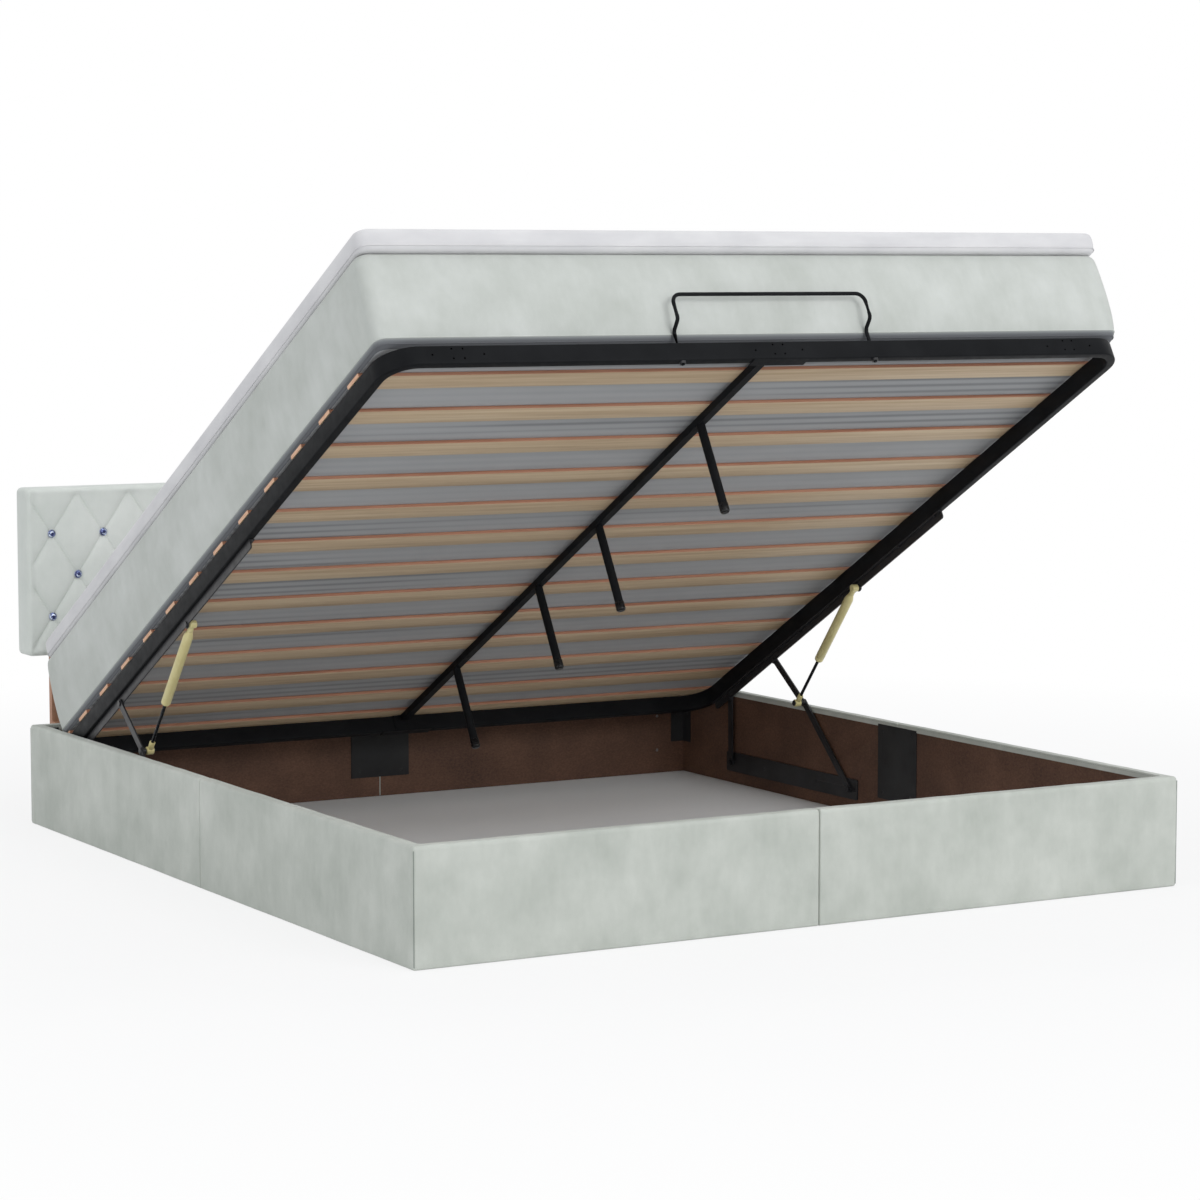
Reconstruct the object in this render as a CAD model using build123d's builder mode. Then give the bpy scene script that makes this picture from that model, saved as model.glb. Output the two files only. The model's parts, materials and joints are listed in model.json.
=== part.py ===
from build123d import *

import os
from math import atan2, cos, degrees, radians, sin

# Ottoman bed: an upholstered box, a headboard with crystal buttons, and a slatted platform with its
# mattress that lifts on linked arms and gas struts. Millimetres, +Z up, the foot end towards -Y.
# The origin is on the floor under the middle of the bed, and the platform is modelled lifted.

os.makedirs("parts", exist_ok=True)

overrun = 2  # how far a cut runs past a face
seat_gap = 0.3  # between a piece and the seat it is pushed into
sides = (("left", -1), ("right", 1))
ends = (("foot", -1), ("head", 1))

# Bed box: eight boards, each with its own velvet cover over foam
box_width = 1830
box_length = 2030
box_height = 238
board_thickness = 16
foam_thickness = 9
velvet_over_board = 3
lip_thickness = 1.5
lip_depth = 14
lip_top_drop = 1
seam_gap = 1
seam_wrap = 1
top_radius = 10
corner_radius = 12
seam_radius = 3

# Joining plates behind the seams, and brackets in the corners
joining_plate_width = 160
joining_plate_height = 180
joining_plate_thickness = 2
joining_plate_drop = 9
joining_hole_spread = 58
joining_hole_inset = 16
bracket_arm = 38
bracket_height = 150
bracket_thickness = 2
bracket_drop = 8
bracket_hole_inset = 24
screw_head_radius = 5
screw_head_depth = 1.2  # sunk flush into the plate
screw_radius = 2
screw_length = 12

# Headboard, as wide as the box, and its posts
headboard_height = 400
headboard_depth = 68
headboard_bottom = 400
headboard_lap = 5  # how far its face stands in front of the box's head face
headboard_edge_foam = 8
headboard_face_foam = 25
headboard_corner_radius = 20
headboard_face_radius = 18
tuft_pitch_x = 65.5
tuft_pitch_z = 99
tuft_drop = 8  # of the middle row of buttons under the headboard's middle
groove_width = 76
groove_depth = 8.5
groove_shoulder_shares = (0.32, 0.38)  # of the half width and of the depth
button_radius = 10
button_girdle = 2
button_crown = 5
button_taper = 42
button_facets = 8
button_pocket_gap = 0.5
post_width = 80
post_thickness = 18
post_inset = 65  # from the headboard's side to the post
post_bottom = 10
post_top = 720
post_bolt_heights = (60, 150)
post_bolt_radius = 4
post_bolt_head = 13
post_bolt_head_height = 5

# Platform frame: two bent tubes, joined by sleeves
frame_side_gap = 5  # to the box's boards, with the bed shut
frame_end_gap = 5
tube_width = 20
tube_height = 40
tube_wall = 1.5
frame_corner_radius = 75
sleeve_length = 200
sleeve_wall = 1.5
hole_group_spread = 731
hole_radius = 2.2
hole_outer_spread = 56
hole_inner_spread = 12
hole_rise = 10.5
hole_row_height = 22

# How the platform stands when it is lifted and when it is shut
lift_angle = 29.3
lifted_shift = -4.5  # its middle against the box's middle
lifted_height = 656.2
shut_height = 181

# Slats
slat_width = 55
slat_thickness = 8
slat_overlap = 21  # of each end over its tube
slat_pitch = 151.3
slat_first_inset = 153
slat_count = 12  # evenly spaced, and one more lies on the head tube
foot_slat_count = 6

# Centre beam with its end plates and legs
beam_width = 20
beam_height = 15
beam_wall = 1.5
beam_plate_width = 132
beam_plate_reach = 26
beam_plate_thickness = 2
beam_tab_thickness = 3
beam_tab_width = 60
leg_radius = 9.5
leg_wall = 1.5
leg_floor_gap = 1
leg_places = (-640, -145, 175, 644)
cap_radius = 10.5
cap_height = 22
cap_round = 5

# Lift handle
handle_radius = 4
handle_half_span = 231
handle_inset = 7  # from the frame's outer face
handle_straight = 28
handle_offset = 27
handle_step = 15  # the slope's rise; it clears the rim when shut
handle_rise = 98  # of the bar over the tube
handle_bend_radius = 12
handle_corner_radius = 20
handle_tail = 7
nut_width = 13
nut_height = 5

# Lift rails, links and struts
rail_start = -213
rail_end = 930
rail_flange = 2.5
rail_web_inset = 11  # from the frame's outer face
rail_web_thickness = 3
rail_web_depth = 19
rail_ear_radius = 9
rail_end_radius = 6
rail_bolt_places = (-187, -23, 472)
rail_bolt_head = 7
rail_bolt_head_height = 3.5
rail_bolt_radius = 2.5
rail_bolt_length = 8
pin_drop = 16  # of the pins under the tubes
front_pin_place = 619
rear_pin_place = 860
strut_pin_place = 184
base_pin_height = 55
knee_place = 398  # where strut and front link meet, from the box's middle and the floor
knee_height = 246
link_gap = 0.5
link_thickness = 4
link_width = 18
pin_radius = 4
pin_play = 0.05
pin_head_radius = 7
pin_head_height = 2.5
boss_radius = 7
knee_head_height = 1.2
strut_eye_radius = 9
strut_gap = 1.5  # to the rail's web
strut_cylinder_radius = 9  # and half the width of the eyes, which slide past a pin's head
strut_cylinder_length = 246
strut_neck_length = 24
strut_shoulder_length = 12
strut_rod_radius = 4
strut_rod_end_radius = 7
strut_rod_end_length = 28
strut_rod_travel_rest = 30  # rod left inside its cylinder when the bed is open
base_plate_thickness = 3
base_plate_width = 50
base_plate_reach = 32  # beyond each base pin
base_screw_inset = 12
base_screw_share = 0.3  # of the plate's length, for the inner screws

# Mattress and topper
mattress_thickness = 200
mattress_side_gap = 4  # mattress at its widest past the box's boards
mattress_foot_gap = 7
mattress_head_gap = 4
mattress_corner_radius = 55
mattress_roll = 28
mattress_height_shares = (0, 0.015, 0.04, 0.085, 0.3, 0.55, 0.8, 0.94, 0.98, 1)
mattress_inset_shares = (1, 0.75, 0.55, 0.36, 0.09, 0, 0.018, 0.071, 0.179, 0.429)
topper_thickness = 44
topper_side_inset = 3.5
topper_foot_lap = 18
topper_foot_lean = 9
topper_head_gap = 28
topper_corner_radius = 45
topper_roll = 12
topper_crown = 3
topper_crown_inset = 220
topper_height_shares = (0, 0.09, 0.23, 0.55, 0.82, 0.93, 1)
topper_inset_shares = (0.83, 0.21, 0.04, 0, 0.12, 0.42, 1)

# Places that follow from the sizes
headboard_width = box_width
box_y = (headboard_lap - headboard_depth) / 2
half_width = box_width / 2
half_length = box_length / 2
panel_thickness = board_thickness + foam_thickness
inner_half_width = half_width - panel_thickness
inner_half_length = half_length - panel_thickness
board_height = box_height - velvet_over_board
board_start = seam_gap / 2 + seam_wrap
cover_start = seam_gap / 2
lip_bottom = box_height - lip_depth
cover_inner_width = inner_half_width - lip_thickness
lip_height = lip_depth - lip_top_drop
headboard_face = box_y + half_length - headboard_lap
headboard_back = headboard_face + headboard_depth
core_face = headboard_face + headboard_face_foam
frame_half_width = inner_half_width - frame_side_gap
frame_half_length = inner_half_length - frame_end_gap
tube_center = frame_half_width - tube_width / 2


def grow(sign):
    """Align a block so that it grows from its corner towards the given sign."""
    return Align.MIN if sign > 0 else Align.MAX


def far_face(part, axis, sign):
    """The face of a part that lies furthest along an axis, or furthest against it."""
    return part.faces().sort_by(axis)[-1 if sign > 0 else 0]


def lifted_point(y, z):
    """Y and Z of a platform place, given along the platform and over its tubes' underside."""
    angle = radians(lift_angle)
    return Vector(
        box_y + lifted_shift + y * cos(angle) + z * sin(angle),
        lifted_height - y * sin(angle) + z * cos(angle),
    )


def base_pin(y):
    """The place on the box at base pin height that lies as far from a rail pin, open and shut."""
    lifted = lifted_point(y, -pin_drop)
    shut = Vector(box_y + y, shut_height - pin_drop)
    middle = (lifted + shut) / 2
    across = lifted - shut
    return Vector(middle.X - (base_pin_height - middle.Y) * across.Y / across.X, base_pin_height)


def disc(place, radius, side, start, end, mode=Mode.ADD):
    """A round piece across the bed, from one distance off its middle plane to another."""
    with BuildSketch(Plane.YZ.offset(side * start)) as outline:
        with Locations(place):
            Circle(radius)
    extrude(outline.sketch, amount=side * (end - start), mode=mode)


def end_disc(place, radius, end, start, finish):
    """A round piece along the bed, from one distance off the box's middle to another."""
    with BuildSketch(Plane.XZ.offset(-box_y - end * start)) as outline:
        with Locations(place):
            Circle(radius)
    extrude(outline.sketch, amount=-end * (finish - start))


def side_screw(place, side, seat):
    """A flush screw through a plate on a long side, into the board behind it."""
    disc(place, screw_head_radius, side, seat, seat + screw_head_depth)
    disc(place, screw_radius, side, seat + screw_head_depth, seat + screw_length)


def end_screw(place, end, seat):
    """A flush screw through a plate on the foot or head, into the board behind it."""
    end_disc(place, screw_head_radius, end, seat, seat + screw_head_depth)
    end_disc(place, screw_radius, end, seat + screw_head_depth, seat + screw_length)


def bar(place_a, place_b, width, side, start, thickness):
    """A flat bar with round ends about two pins."""
    run = place_b - place_a
    with BuildSketch(Plane.YZ.offset(side * start)) as outline:
        with Locations((place_a + place_b) / 2):
            SlotCenterToCenter(run.length, width, rotation=degrees(atan2(run.Y, run.X)))
    extrude(outline.sketch, amount=side * thickness)


deck_angle = radians(lift_angle)
deck_origin = lifted_point(0, 0)
deck = Plane(
    origin=(0, deck_origin.X, deck_origin.Y), x_dir=(1, 0, 0), z_dir=(0, sin(deck_angle), cos(deck_angle))
)
deck_side = Plane(origin=deck.origin, x_dir=deck.y_dir, z_dir=(1, 0, 0))
deck_up = Axis(deck.origin, deck.z_dir)

front_pin = lifted_point(front_pin_place, -pin_drop)
rear_pin = lifted_point(rear_pin_place, -pin_drop)
strut_pin = lifted_point(strut_pin_place, -pin_drop)
front_base_pin = base_pin(front_pin_place)
rear_base_pin = base_pin(rear_pin_place)
knee = Vector(box_y + knee_place, knee_height)

# Layers of the lift, counted from the bed's middle plane
rail_web_inner = frame_half_width - rail_web_inset
rail_web_outer = rail_web_inner + rail_web_thickness
link_inner = rail_web_outer + link_gap
link_outer = link_inner + link_thickness
arm_outer = link_outer + link_thickness
base_plate_inner = inner_half_width - base_plate_thickness
strut_center = rail_web_inner - strut_gap - strut_cylinder_radius
strut_inner = strut_center - strut_cylinder_radius
strut_outer = strut_center + strut_cylinder_radius
strut_shoulder_end = strut_neck_length + strut_shoulder_length

# Screws of the box: two rows behind each seam, one row in each corner, and the base plates' own
plate_top = box_height - joining_plate_drop
plate_rows = (plate_top - joining_hole_inset, plate_top - joining_plate_height + joining_hole_inset)
bracket_top = box_height - bracket_drop
bracket_row = bracket_top - bracket_height / 2

with BuildPart() as joining_screws:
    for _, sign in sides:
        for spread in (-joining_hole_spread, joining_hole_spread):
            for row in plate_rows:
                side_screw((box_y + spread, row), sign, inner_half_width - joining_plate_thickness)
                end_screw((spread, row), sign, inner_half_length - joining_plate_thickness)
joining_screws.part.label = "joining_screws"
export_step(joining_screws.part, "parts/joining_screws.step")

with BuildPart() as joining_plates:
    for _, sign in sides:
        with Locations((sign * inner_half_width, box_y, plate_top)):
            Box(
                joining_plate_thickness,
                joining_plate_width,
                joining_plate_height,
                align=(grow(-sign), Align.CENTER, Align.MAX),
            )
    for _, sign in ends:
        with Locations((0, box_y + sign * inner_half_length, plate_top)):
            Box(
                joining_plate_width,
                joining_plate_thickness,
                joining_plate_height,
                align=(Align.CENTER, grow(-sign), Align.MAX),
            )
    add(joining_screws.part, mode=Mode.SUBTRACT)
joining_plates.part.label = "joining_plates"
export_step(joining_plates.part, "parts/joining_plates.step")

bracket_hole_x = inner_half_width - bracket_hole_inset
bracket_hole_y = inner_half_length - bracket_hole_inset
with BuildPart() as bracket_screws:
    for _, side in sides:
        for _, end in ends:
            side_screw((box_y + end * bracket_hole_y, bracket_row), side, inner_half_width - bracket_thickness)
            end_screw((side * bracket_hole_x, bracket_row), end, inner_half_length - bracket_thickness)
bracket_screws.part.label = "bracket_screws"
export_step(bracket_screws.part, "parts/bracket_screws.step")

with BuildPart() as corner_brackets:
    for _, side in sides:
        for _, end in ends:
            corner = (side * inner_half_width, box_y + end * inner_half_length, bracket_top)
            along = (grow(-side), grow(-end), Align.MAX)
            with Locations(corner):
                Box(bracket_thickness, bracket_arm, bracket_height, align=along)
                Box(bracket_arm, bracket_thickness, bracket_height, align=along)
    add(bracket_screws.part, mode=Mode.SUBTRACT)
corner_brackets.part.label = "corner_brackets"
export_step(corner_brackets.part, "parts/corner_brackets.step")

plate_start = front_base_pin.X - base_plate_reach
plate_end = rear_base_pin.X + base_plate_reach
plate_length = plate_end - plate_start
base_screw_places = [
    Vector(plate_start + base_screw_inset, base_pin_height),
    Vector(plate_start + base_screw_share * plate_length, base_pin_height),
    Vector(plate_end - base_screw_share * plate_length, base_pin_height),
    Vector(plate_end - base_screw_inset, base_pin_height),
]
with BuildPart() as base_plate_screws:
    for _, side in sides:
        for place in base_screw_places:
            side_screw(place, side, base_plate_inner)
base_plate_screws.part.label = "base_plate_screws"
export_step(base_plate_screws.part, "parts/base_plate_screws.step")

# Bolts that hold the headboard's posts to the head of the box
post_center = headboard_width / 2 - post_inset - post_width / 2
post_face = core_face + seat_gap
with BuildPart() as post_bolts:
    for _, side in sides:
        for height in post_bolt_heights:
            with BuildSketch(Plane.XZ.offset(-post_face - post_thickness)):
                with Locations((side * post_center, height)):
                    RegularPolygon(post_bolt_head / 2, 6, major_radius=False)
            extrude(amount=-post_bolt_head_height)
            shank_end = post_face + post_thickness - box_y
            end_disc((side * post_center, height), post_bolt_radius, 1, inner_half_length, shank_end)
post_bolts.part.label = "post_bolts"
export_step(post_bolts.part, "parts/post_bolts.step")

# Boards and covers of the long sides
for side_name, side in sides:
    for end_name, end in ends:
        outward = (grow(side), grow(end), Align.MIN)
        with BuildPart() as board:
            with Locations((side * inner_half_width, box_y + end * board_start, 0)):
                Box(board_thickness, inner_half_length - board_start, board_height, align=outward)
            add(joining_screws.part, mode=Mode.SUBTRACT)
            add(bracket_screws.part, mode=Mode.SUBTRACT)
            add(base_plate_screws.part, mode=Mode.SUBTRACT)
        board.part.label = f"{side_name}_side_{end_name}_board"
        export_step(board.part, f"parts/{board.part.label}.step")

        with BuildPart() as cover:
            with Locations((side * inner_half_width, box_y + end * cover_start, 0)):
                Box(panel_thickness, inner_half_length - cover_start, box_height, align=outward)
            outer_edge = far_face(cover, Axis.X, side).edges().sort_by(Axis.Z)[-1]
            fillet(outer_edge, top_radius)
            seam_edges = far_face(cover, Axis.Y, -end).edges().filter_by(Axis.X, reverse=True)
            fillet(seam_edges.sort_by(Axis.X)[-1 if side > 0 else 0], seam_radius)
            with Locations((side * inner_half_width, box_y + end * board_start, 0)):
                Box(
                    board_thickness,
                    inner_half_length - board_start,
                    board_height,
                    align=outward,
                    mode=Mode.SUBTRACT,
                )
            with Locations((side * inner_half_width, box_y + end * cover_start, lip_bottom)):
                Box(
                    lip_thickness,
                    inner_half_length - cover_start,
                    lip_height,
                    align=(grow(-side), grow(end), Align.MIN),
                )
            add(joining_plates.part, mode=Mode.SUBTRACT)
            add(corner_brackets.part, mode=Mode.SUBTRACT)
        cover.part.label = f"{side_name}_side_{end_name}_cover"
        export_step(cover.part, f"parts/{cover.part.label}.step")

# Boards and covers of the foot and the head, which run the full width
end_board_length = half_width - foam_thickness - board_start
for side_name, side in sides:
    for end_name, end in ends:
        outward = (grow(side), grow(end), Align.MIN)
        with BuildPart() as board:
            with Locations((side * board_start, box_y + end * inner_half_length, 0)):
                Box(end_board_length, board_thickness, board_height, align=outward)
            add(joining_screws.part, mode=Mode.SUBTRACT)
            add(bracket_screws.part, mode=Mode.SUBTRACT)
            add(post_bolts.part, mode=Mode.SUBTRACT)
        board.part.label = f"{side_name}_{end_name}_board"
        export_step(board.part, f"parts/{board.part.label}.step")

        with BuildPart() as cover:
            with Locations((side * cover_start, box_y + end * inner_half_length, 0)):
                Box(half_width - cover_start, panel_thickness, box_height, align=outward)
            corner_edges = far_face(cover, Axis.X, side).edges().filter_by(Axis.Z)
            fillet(corner_edges.sort_by(Axis.Y)[-1 if end > 0 else 0], corner_radius)
            top_edges = far_face(cover, Axis.Z, 1).edges()
            inner_edge = top_edges.sort_by(Axis.Y)[0 if end > 0 else -1]
            seam_edge = top_edges.sort_by(Axis.X)[0 if side > 0 else -1]
            fillet([edge for edge in top_edges if edge not in (inner_edge, seam_edge)], top_radius)
            with Locations((side * cover_start, box_y + end * inner_half_length, lip_bottom)):
                Box(
                    cover_inner_width - cover_start,
                    lip_thickness,
                    lip_height,
                    align=(grow(side), grow(-end), Align.MIN),
                )
            with Locations((side * board_start, box_y + end * inner_half_length, 0)):
                Box(
                    end_board_length,
                    board_thickness,
                    board_height,
                    align=outward,
                    mode=Mode.SUBTRACT,
                )
            add(joining_plates.part, mode=Mode.SUBTRACT)
            add(corner_brackets.part, mode=Mode.SUBTRACT)
            add(post_bolts.part, mode=Mode.SUBTRACT)
        cover.part.label = f"{side_name}_{end_name}_cover"
        export_step(cover.part, f"parts/{cover.part.label}.step")

# Base plates with the studs that the links turn on
for side_name, side in sides:
    with BuildPart() as base_plate:
        with BuildSketch(Plane.YZ.offset(side * base_plate_inner)):
            with Locations(((plate_start + plate_end) / 2, base_pin_height)):
                RectangleRounded(plate_length, base_plate_width, rail_end_radius)
        extrude(amount=side * base_plate_thickness)
        for place, boss_end in ((front_base_pin, arm_outer), (rear_base_pin, link_outer)):
            disc(place, boss_radius, side, boss_end + seat_gap, base_plate_inner)
            stud_end = boss_end - link_thickness - seat_gap - nut_height
            disc(place, pin_radius, side, stud_end, boss_end + seat_gap)
        add(base_plate_screws.part, mode=Mode.SUBTRACT)
    base_plate.part.label = f"{side_name}_base_plate"
    export_step(base_plate.part, f"parts/{base_plate.part.label}.step")

with BuildPart() as stud_nuts:
    for _, side in sides:
        for place, boss_end in ((front_base_pin, arm_outer), (rear_base_pin, link_outer)):
            nut_end = boss_end - link_thickness - seat_gap
            with BuildSketch(Plane.YZ.offset(side * nut_end)):
                with Locations(place):
                    RegularPolygon(nut_width / 2, 6, major_radius=False)
                    Circle(pin_radius, mode=Mode.SUBTRACT)
            extrude(amount=-side * nut_height)
stud_nuts.part.label = "stud_nuts"
export_step(stud_nuts.part, "parts/stud_nuts.step")

# Headboard posts: a long board with a packing board glued on at the box
post_packing = post_face - box_y - half_length
for side_name, side in sides:
    with BuildPart() as post:
        with Locations((side * post_center, post_face, post_bottom)):
            Box(
                post_width,
                post_thickness,
                post_top - post_bottom,
                align=(Align.CENTER, Align.MIN, Align.MIN),
            )
            Box(
                post_width,
                post_packing,
                box_height - post_bottom,
                align=(Align.CENTER, Align.MAX, Align.MIN),
            )
        add(post_bolts.part, mode=Mode.SUBTRACT)
    post.part.label = f"{side_name}_post"
    export_step(post.part, f"parts/{post.part.label}.step")

# Headboard: a boxed core, with pockets for the posts, inside a tufted pad
headboard_middle = headboard_bottom + headboard_height / 2
core_width = headboard_width - 2 * headboard_edge_foam
core_height = headboard_height - 2 * headboard_edge_foam
core_depth = headboard_back - core_face
pocket_top = post_top + seat_gap
with BuildPart() as headboard_core:
    with Locations((0, core_face, headboard_middle)):
        Box(core_width, core_depth, core_height, align=(Align.CENTER, Align.MIN, Align.CENTER))
    for _, side in sides:
        with Locations((side * post_center, core_face, pocket_top)):
            Box(
                post_width + 2 * seat_gap,
                post_thickness + 2 * seat_gap,
                pocket_top - headboard_bottom,
                align=(Align.CENTER, Align.MIN, Align.MAX),
                mode=Mode.SUBTRACT,
            )
headboard_core.part.label = "headboard_core"
export_step(headboard_core.part, "parts/headboard_core.step")

# Buttons stand in staggered rows, and the sewn grooves run from button to button
tuft_middle = headboard_middle - tuft_drop
row_reach = int((headboard_width / 2 - tuft_pitch_x / 2) // tuft_pitch_x)
button_places = [
    (column * tuft_pitch_x, tuft_middle + row * tuft_pitch_z)
    for row in (-1, 0, 1)
    for column in range(-row_reach, row_reach + 1)
    if (row + column) % 2 == 0
]
groove_slope = tuft_pitch_x / tuft_pitch_z
groove_lines = int((headboard_width + headboard_height * groove_slope) / 2 // (2 * tuft_pitch_x))
shoulder_width_share, shoulder_depth_share = groove_shoulder_shares
groove_outline = [
    (-groove_width / 2, -overrun),
    (-groove_width / 2, 0),
    (-groove_width / 2 * shoulder_width_share, groove_depth * shoulder_depth_share),
    (0, groove_depth),
    (groove_width / 2 * shoulder_width_share, groove_depth * shoulder_depth_share),
    (groove_width / 2, 0),
    (groove_width / 2, -overrun),
]
with BuildPart() as headboard_pad:
    with Locations((0, headboard_face, headboard_middle)):
        Box(
            headboard_width,
            headboard_depth,
            headboard_height,
            align=(Align.CENTER, Align.MIN, Align.CENTER),
        )
    fillet(headboard_pad.edges().filter_by(Axis.Y), headboard_corner_radius)
    fillet(far_face(headboard_pad, Axis.Y, -1).edges(), headboard_face_radius)
    for line in range(-groove_lines, groove_lines + 1):
        for lean in (-1, 1):
            groove_plane = Plane(
                origin=(line * 2 * tuft_pitch_x, headboard_face, tuft_middle),
                x_dir=(tuft_pitch_z, 0, -lean * tuft_pitch_x),
                z_dir=(lean * tuft_pitch_x, 0, tuft_pitch_z),
            )
            with BuildSketch(groove_plane):
                Polygon(*groove_outline, align=None)
    extrude(amount=headboard_height, both=True, mode=Mode.SUBTRACT)
    with BuildSketch(Plane.XZ.offset(-headboard_face - groove_depth)):
        with Locations(*button_places):
            Circle(button_radius + button_pocket_gap)
    extrude(amount=groove_depth + overrun, mode=Mode.SUBTRACT)
    with Locations((0, core_face, headboard_middle)):
        Box(
            core_width,
            core_depth,
            core_height,
            align=(Align.CENTER, Align.MIN, Align.CENTER),
            mode=Mode.SUBTRACT,
        )
    for _, side in sides:
        with Locations((side * post_center, core_face, headboard_bottom)):
            Box(
                post_width + 2 * seat_gap,
                post_thickness + 2 * seat_gap,
                2 * headboard_edge_foam,
                align=(Align.CENTER, Align.MIN, Align.CENTER),
                mode=Mode.SUBTRACT,
            )
headboard_pad.part.label = "headboard_pad"
export_step(headboard_pad.part, "parts/headboard_pad.step")

with BuildPart() as headboard_buttons:
    with BuildSketch(Plane.XZ.offset(-headboard_face - groove_depth)):
        with Locations(*button_places):
            RegularPolygon(button_radius, button_facets)
    extrude(amount=button_girdle)
    with BuildSketch(Plane.XZ.offset(-headboard_face - groove_depth + button_girdle)):
        with Locations(*button_places):
            RegularPolygon(button_radius, button_facets)
    extrude(amount=button_crown, taper=button_taper)
headboard_buttons.part.label = "headboard_buttons"
export_step(headboard_buttons.part, "parts/headboard_buttons.step")

# Lift rails: angles bolted under the side tubes, with ears at the pins
with BuildPart() as rail_bolts:
    for _, side in sides:
        bolt_x = (frame_half_width - tube_width + rail_web_inner) / 2
        bolt_places = [(side * bolt_x, place) for place in rail_bolt_places]
        with BuildSketch(deck.offset(-rail_flange)):
            with Locations(*bolt_places):
                RegularPolygon(rail_bolt_head / 2, 6, major_radius=False)
        extrude(amount=-rail_bolt_head_height)
        with BuildSketch(deck.offset(-rail_flange)):
            with Locations(*bolt_places):
                Circle(rail_bolt_radius)
        extrude(amount=rail_bolt_length)
rail_bolts.part.label = "rail_bolts"
export_step(rail_bolts.part, "parts/rail_bolts.step")

with BuildPart() as rail_pins:
    for _, side in sides:
        inner_head = rail_web_inner - pin_head_height
        disc(front_pin, pin_head_radius, side, inner_head, rail_web_inner)
        disc(front_pin, pin_radius, side, rail_web_inner, link_outer + seat_gap)
        disc(front_pin, pin_head_radius, side, link_outer + seat_gap, link_outer + pin_head_height)
        disc(rear_pin, pin_head_radius, side, inner_head, rail_web_inner)
        disc(rear_pin, pin_radius, side, rail_web_inner, rail_web_outer)
        disc(strut_pin, pin_head_radius, side, strut_outer + seat_gap, rail_web_inner)
        disc(strut_pin, pin_radius, side, rail_web_inner, rail_web_outer)
        disc(strut_pin, pin_head_radius, side, rail_web_outer, rail_web_outer + pin_head_height)
rail_pins.part.label = "rail_pins"
export_step(rail_pins.part, "parts/rail_pins.step")

for side_name, side in sides:
    with BuildPart() as lift_rail:
        with BuildSketch(deck_side.offset(side * (frame_half_width - tube_width))):
            with Locations((rail_start, 0)):
                Rectangle(rail_end - rail_start, rail_flange, align=(Align.MIN, Align.MAX))
        extrude(amount=side * (rail_web_outer - frame_half_width + tube_width))
        with BuildSketch(deck_side.offset(side * rail_web_inner)) as web:
            with Locations((rail_start, 0)):
                Rectangle(rail_end - rail_start, rail_web_depth, align=(Align.MIN, Align.MAX))
            fillet(web.vertices().group_by(Axis.Y)[0], rail_end_radius)
            ear_places = (strut_pin_place, front_pin_place, rear_pin_place)
            with Locations(*[(place, -pin_drop) for place in ear_places]):
                Circle(rail_ear_radius)
        extrude(amount=side * rail_web_thickness)
        add(rail_bolts.part, mode=Mode.SUBTRACT)
        add(rail_pins.part, mode=Mode.SUBTRACT)
    lift_rail.part.label = f"{side_name}_lift_rail"
    export_step(lift_rail.part, f"parts/{lift_rail.part.label}.step")

# Handle: a bent rod through the foot tube, with a nut on each end
handle_y = handle_inset - frame_half_length
handle_top = tube_height + handle_rise
handle_outer = handle_y - handle_offset
handle_knee = tube_height + handle_straight
handle_points = [
    (-handle_half_span, handle_y, -handle_tail),
    (-handle_half_span, handle_y, handle_knee),
    (-handle_half_span, handle_outer, handle_knee + handle_step),
    (-handle_half_span, handle_outer, handle_top),
    (handle_half_span, handle_outer, handle_top),
    (handle_half_span, handle_outer, handle_knee + handle_step),
    (handle_half_span, handle_y, handle_knee),
    (handle_half_span, handle_y, -handle_tail),
]
handle_radii = [
    handle_bend_radius,
    handle_bend_radius,
    handle_corner_radius,
    handle_corner_radius,
    handle_bend_radius,
    handle_bend_radius,
]
with BuildPart() as lift_handle:
    with BuildLine():
        FilletPolyline(*[deck.from_local_coords(point) for point in handle_points], radius=handle_radii)
    with BuildSketch(deck.offset(-handle_tail)):
        with Locations((-handle_half_span, handle_y)):
            Circle(handle_radius)
    sweep()
lift_handle.part.label = "lift_handle"
export_step(lift_handle.part, "parts/lift_handle.step")

with BuildPart() as handle_nuts:
    with BuildSketch(deck):
        with Locations((-handle_half_span, handle_y), (handle_half_span, handle_y)):
            RegularPolygon(nut_width / 2, 6, major_radius=False)
            Circle(handle_radius, mode=Mode.SUBTRACT)
    extrude(amount=-nut_height)
handle_nuts.part.label = "handle_nuts"
export_step(handle_nuts.part, "parts/handle_nuts.step")

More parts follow.
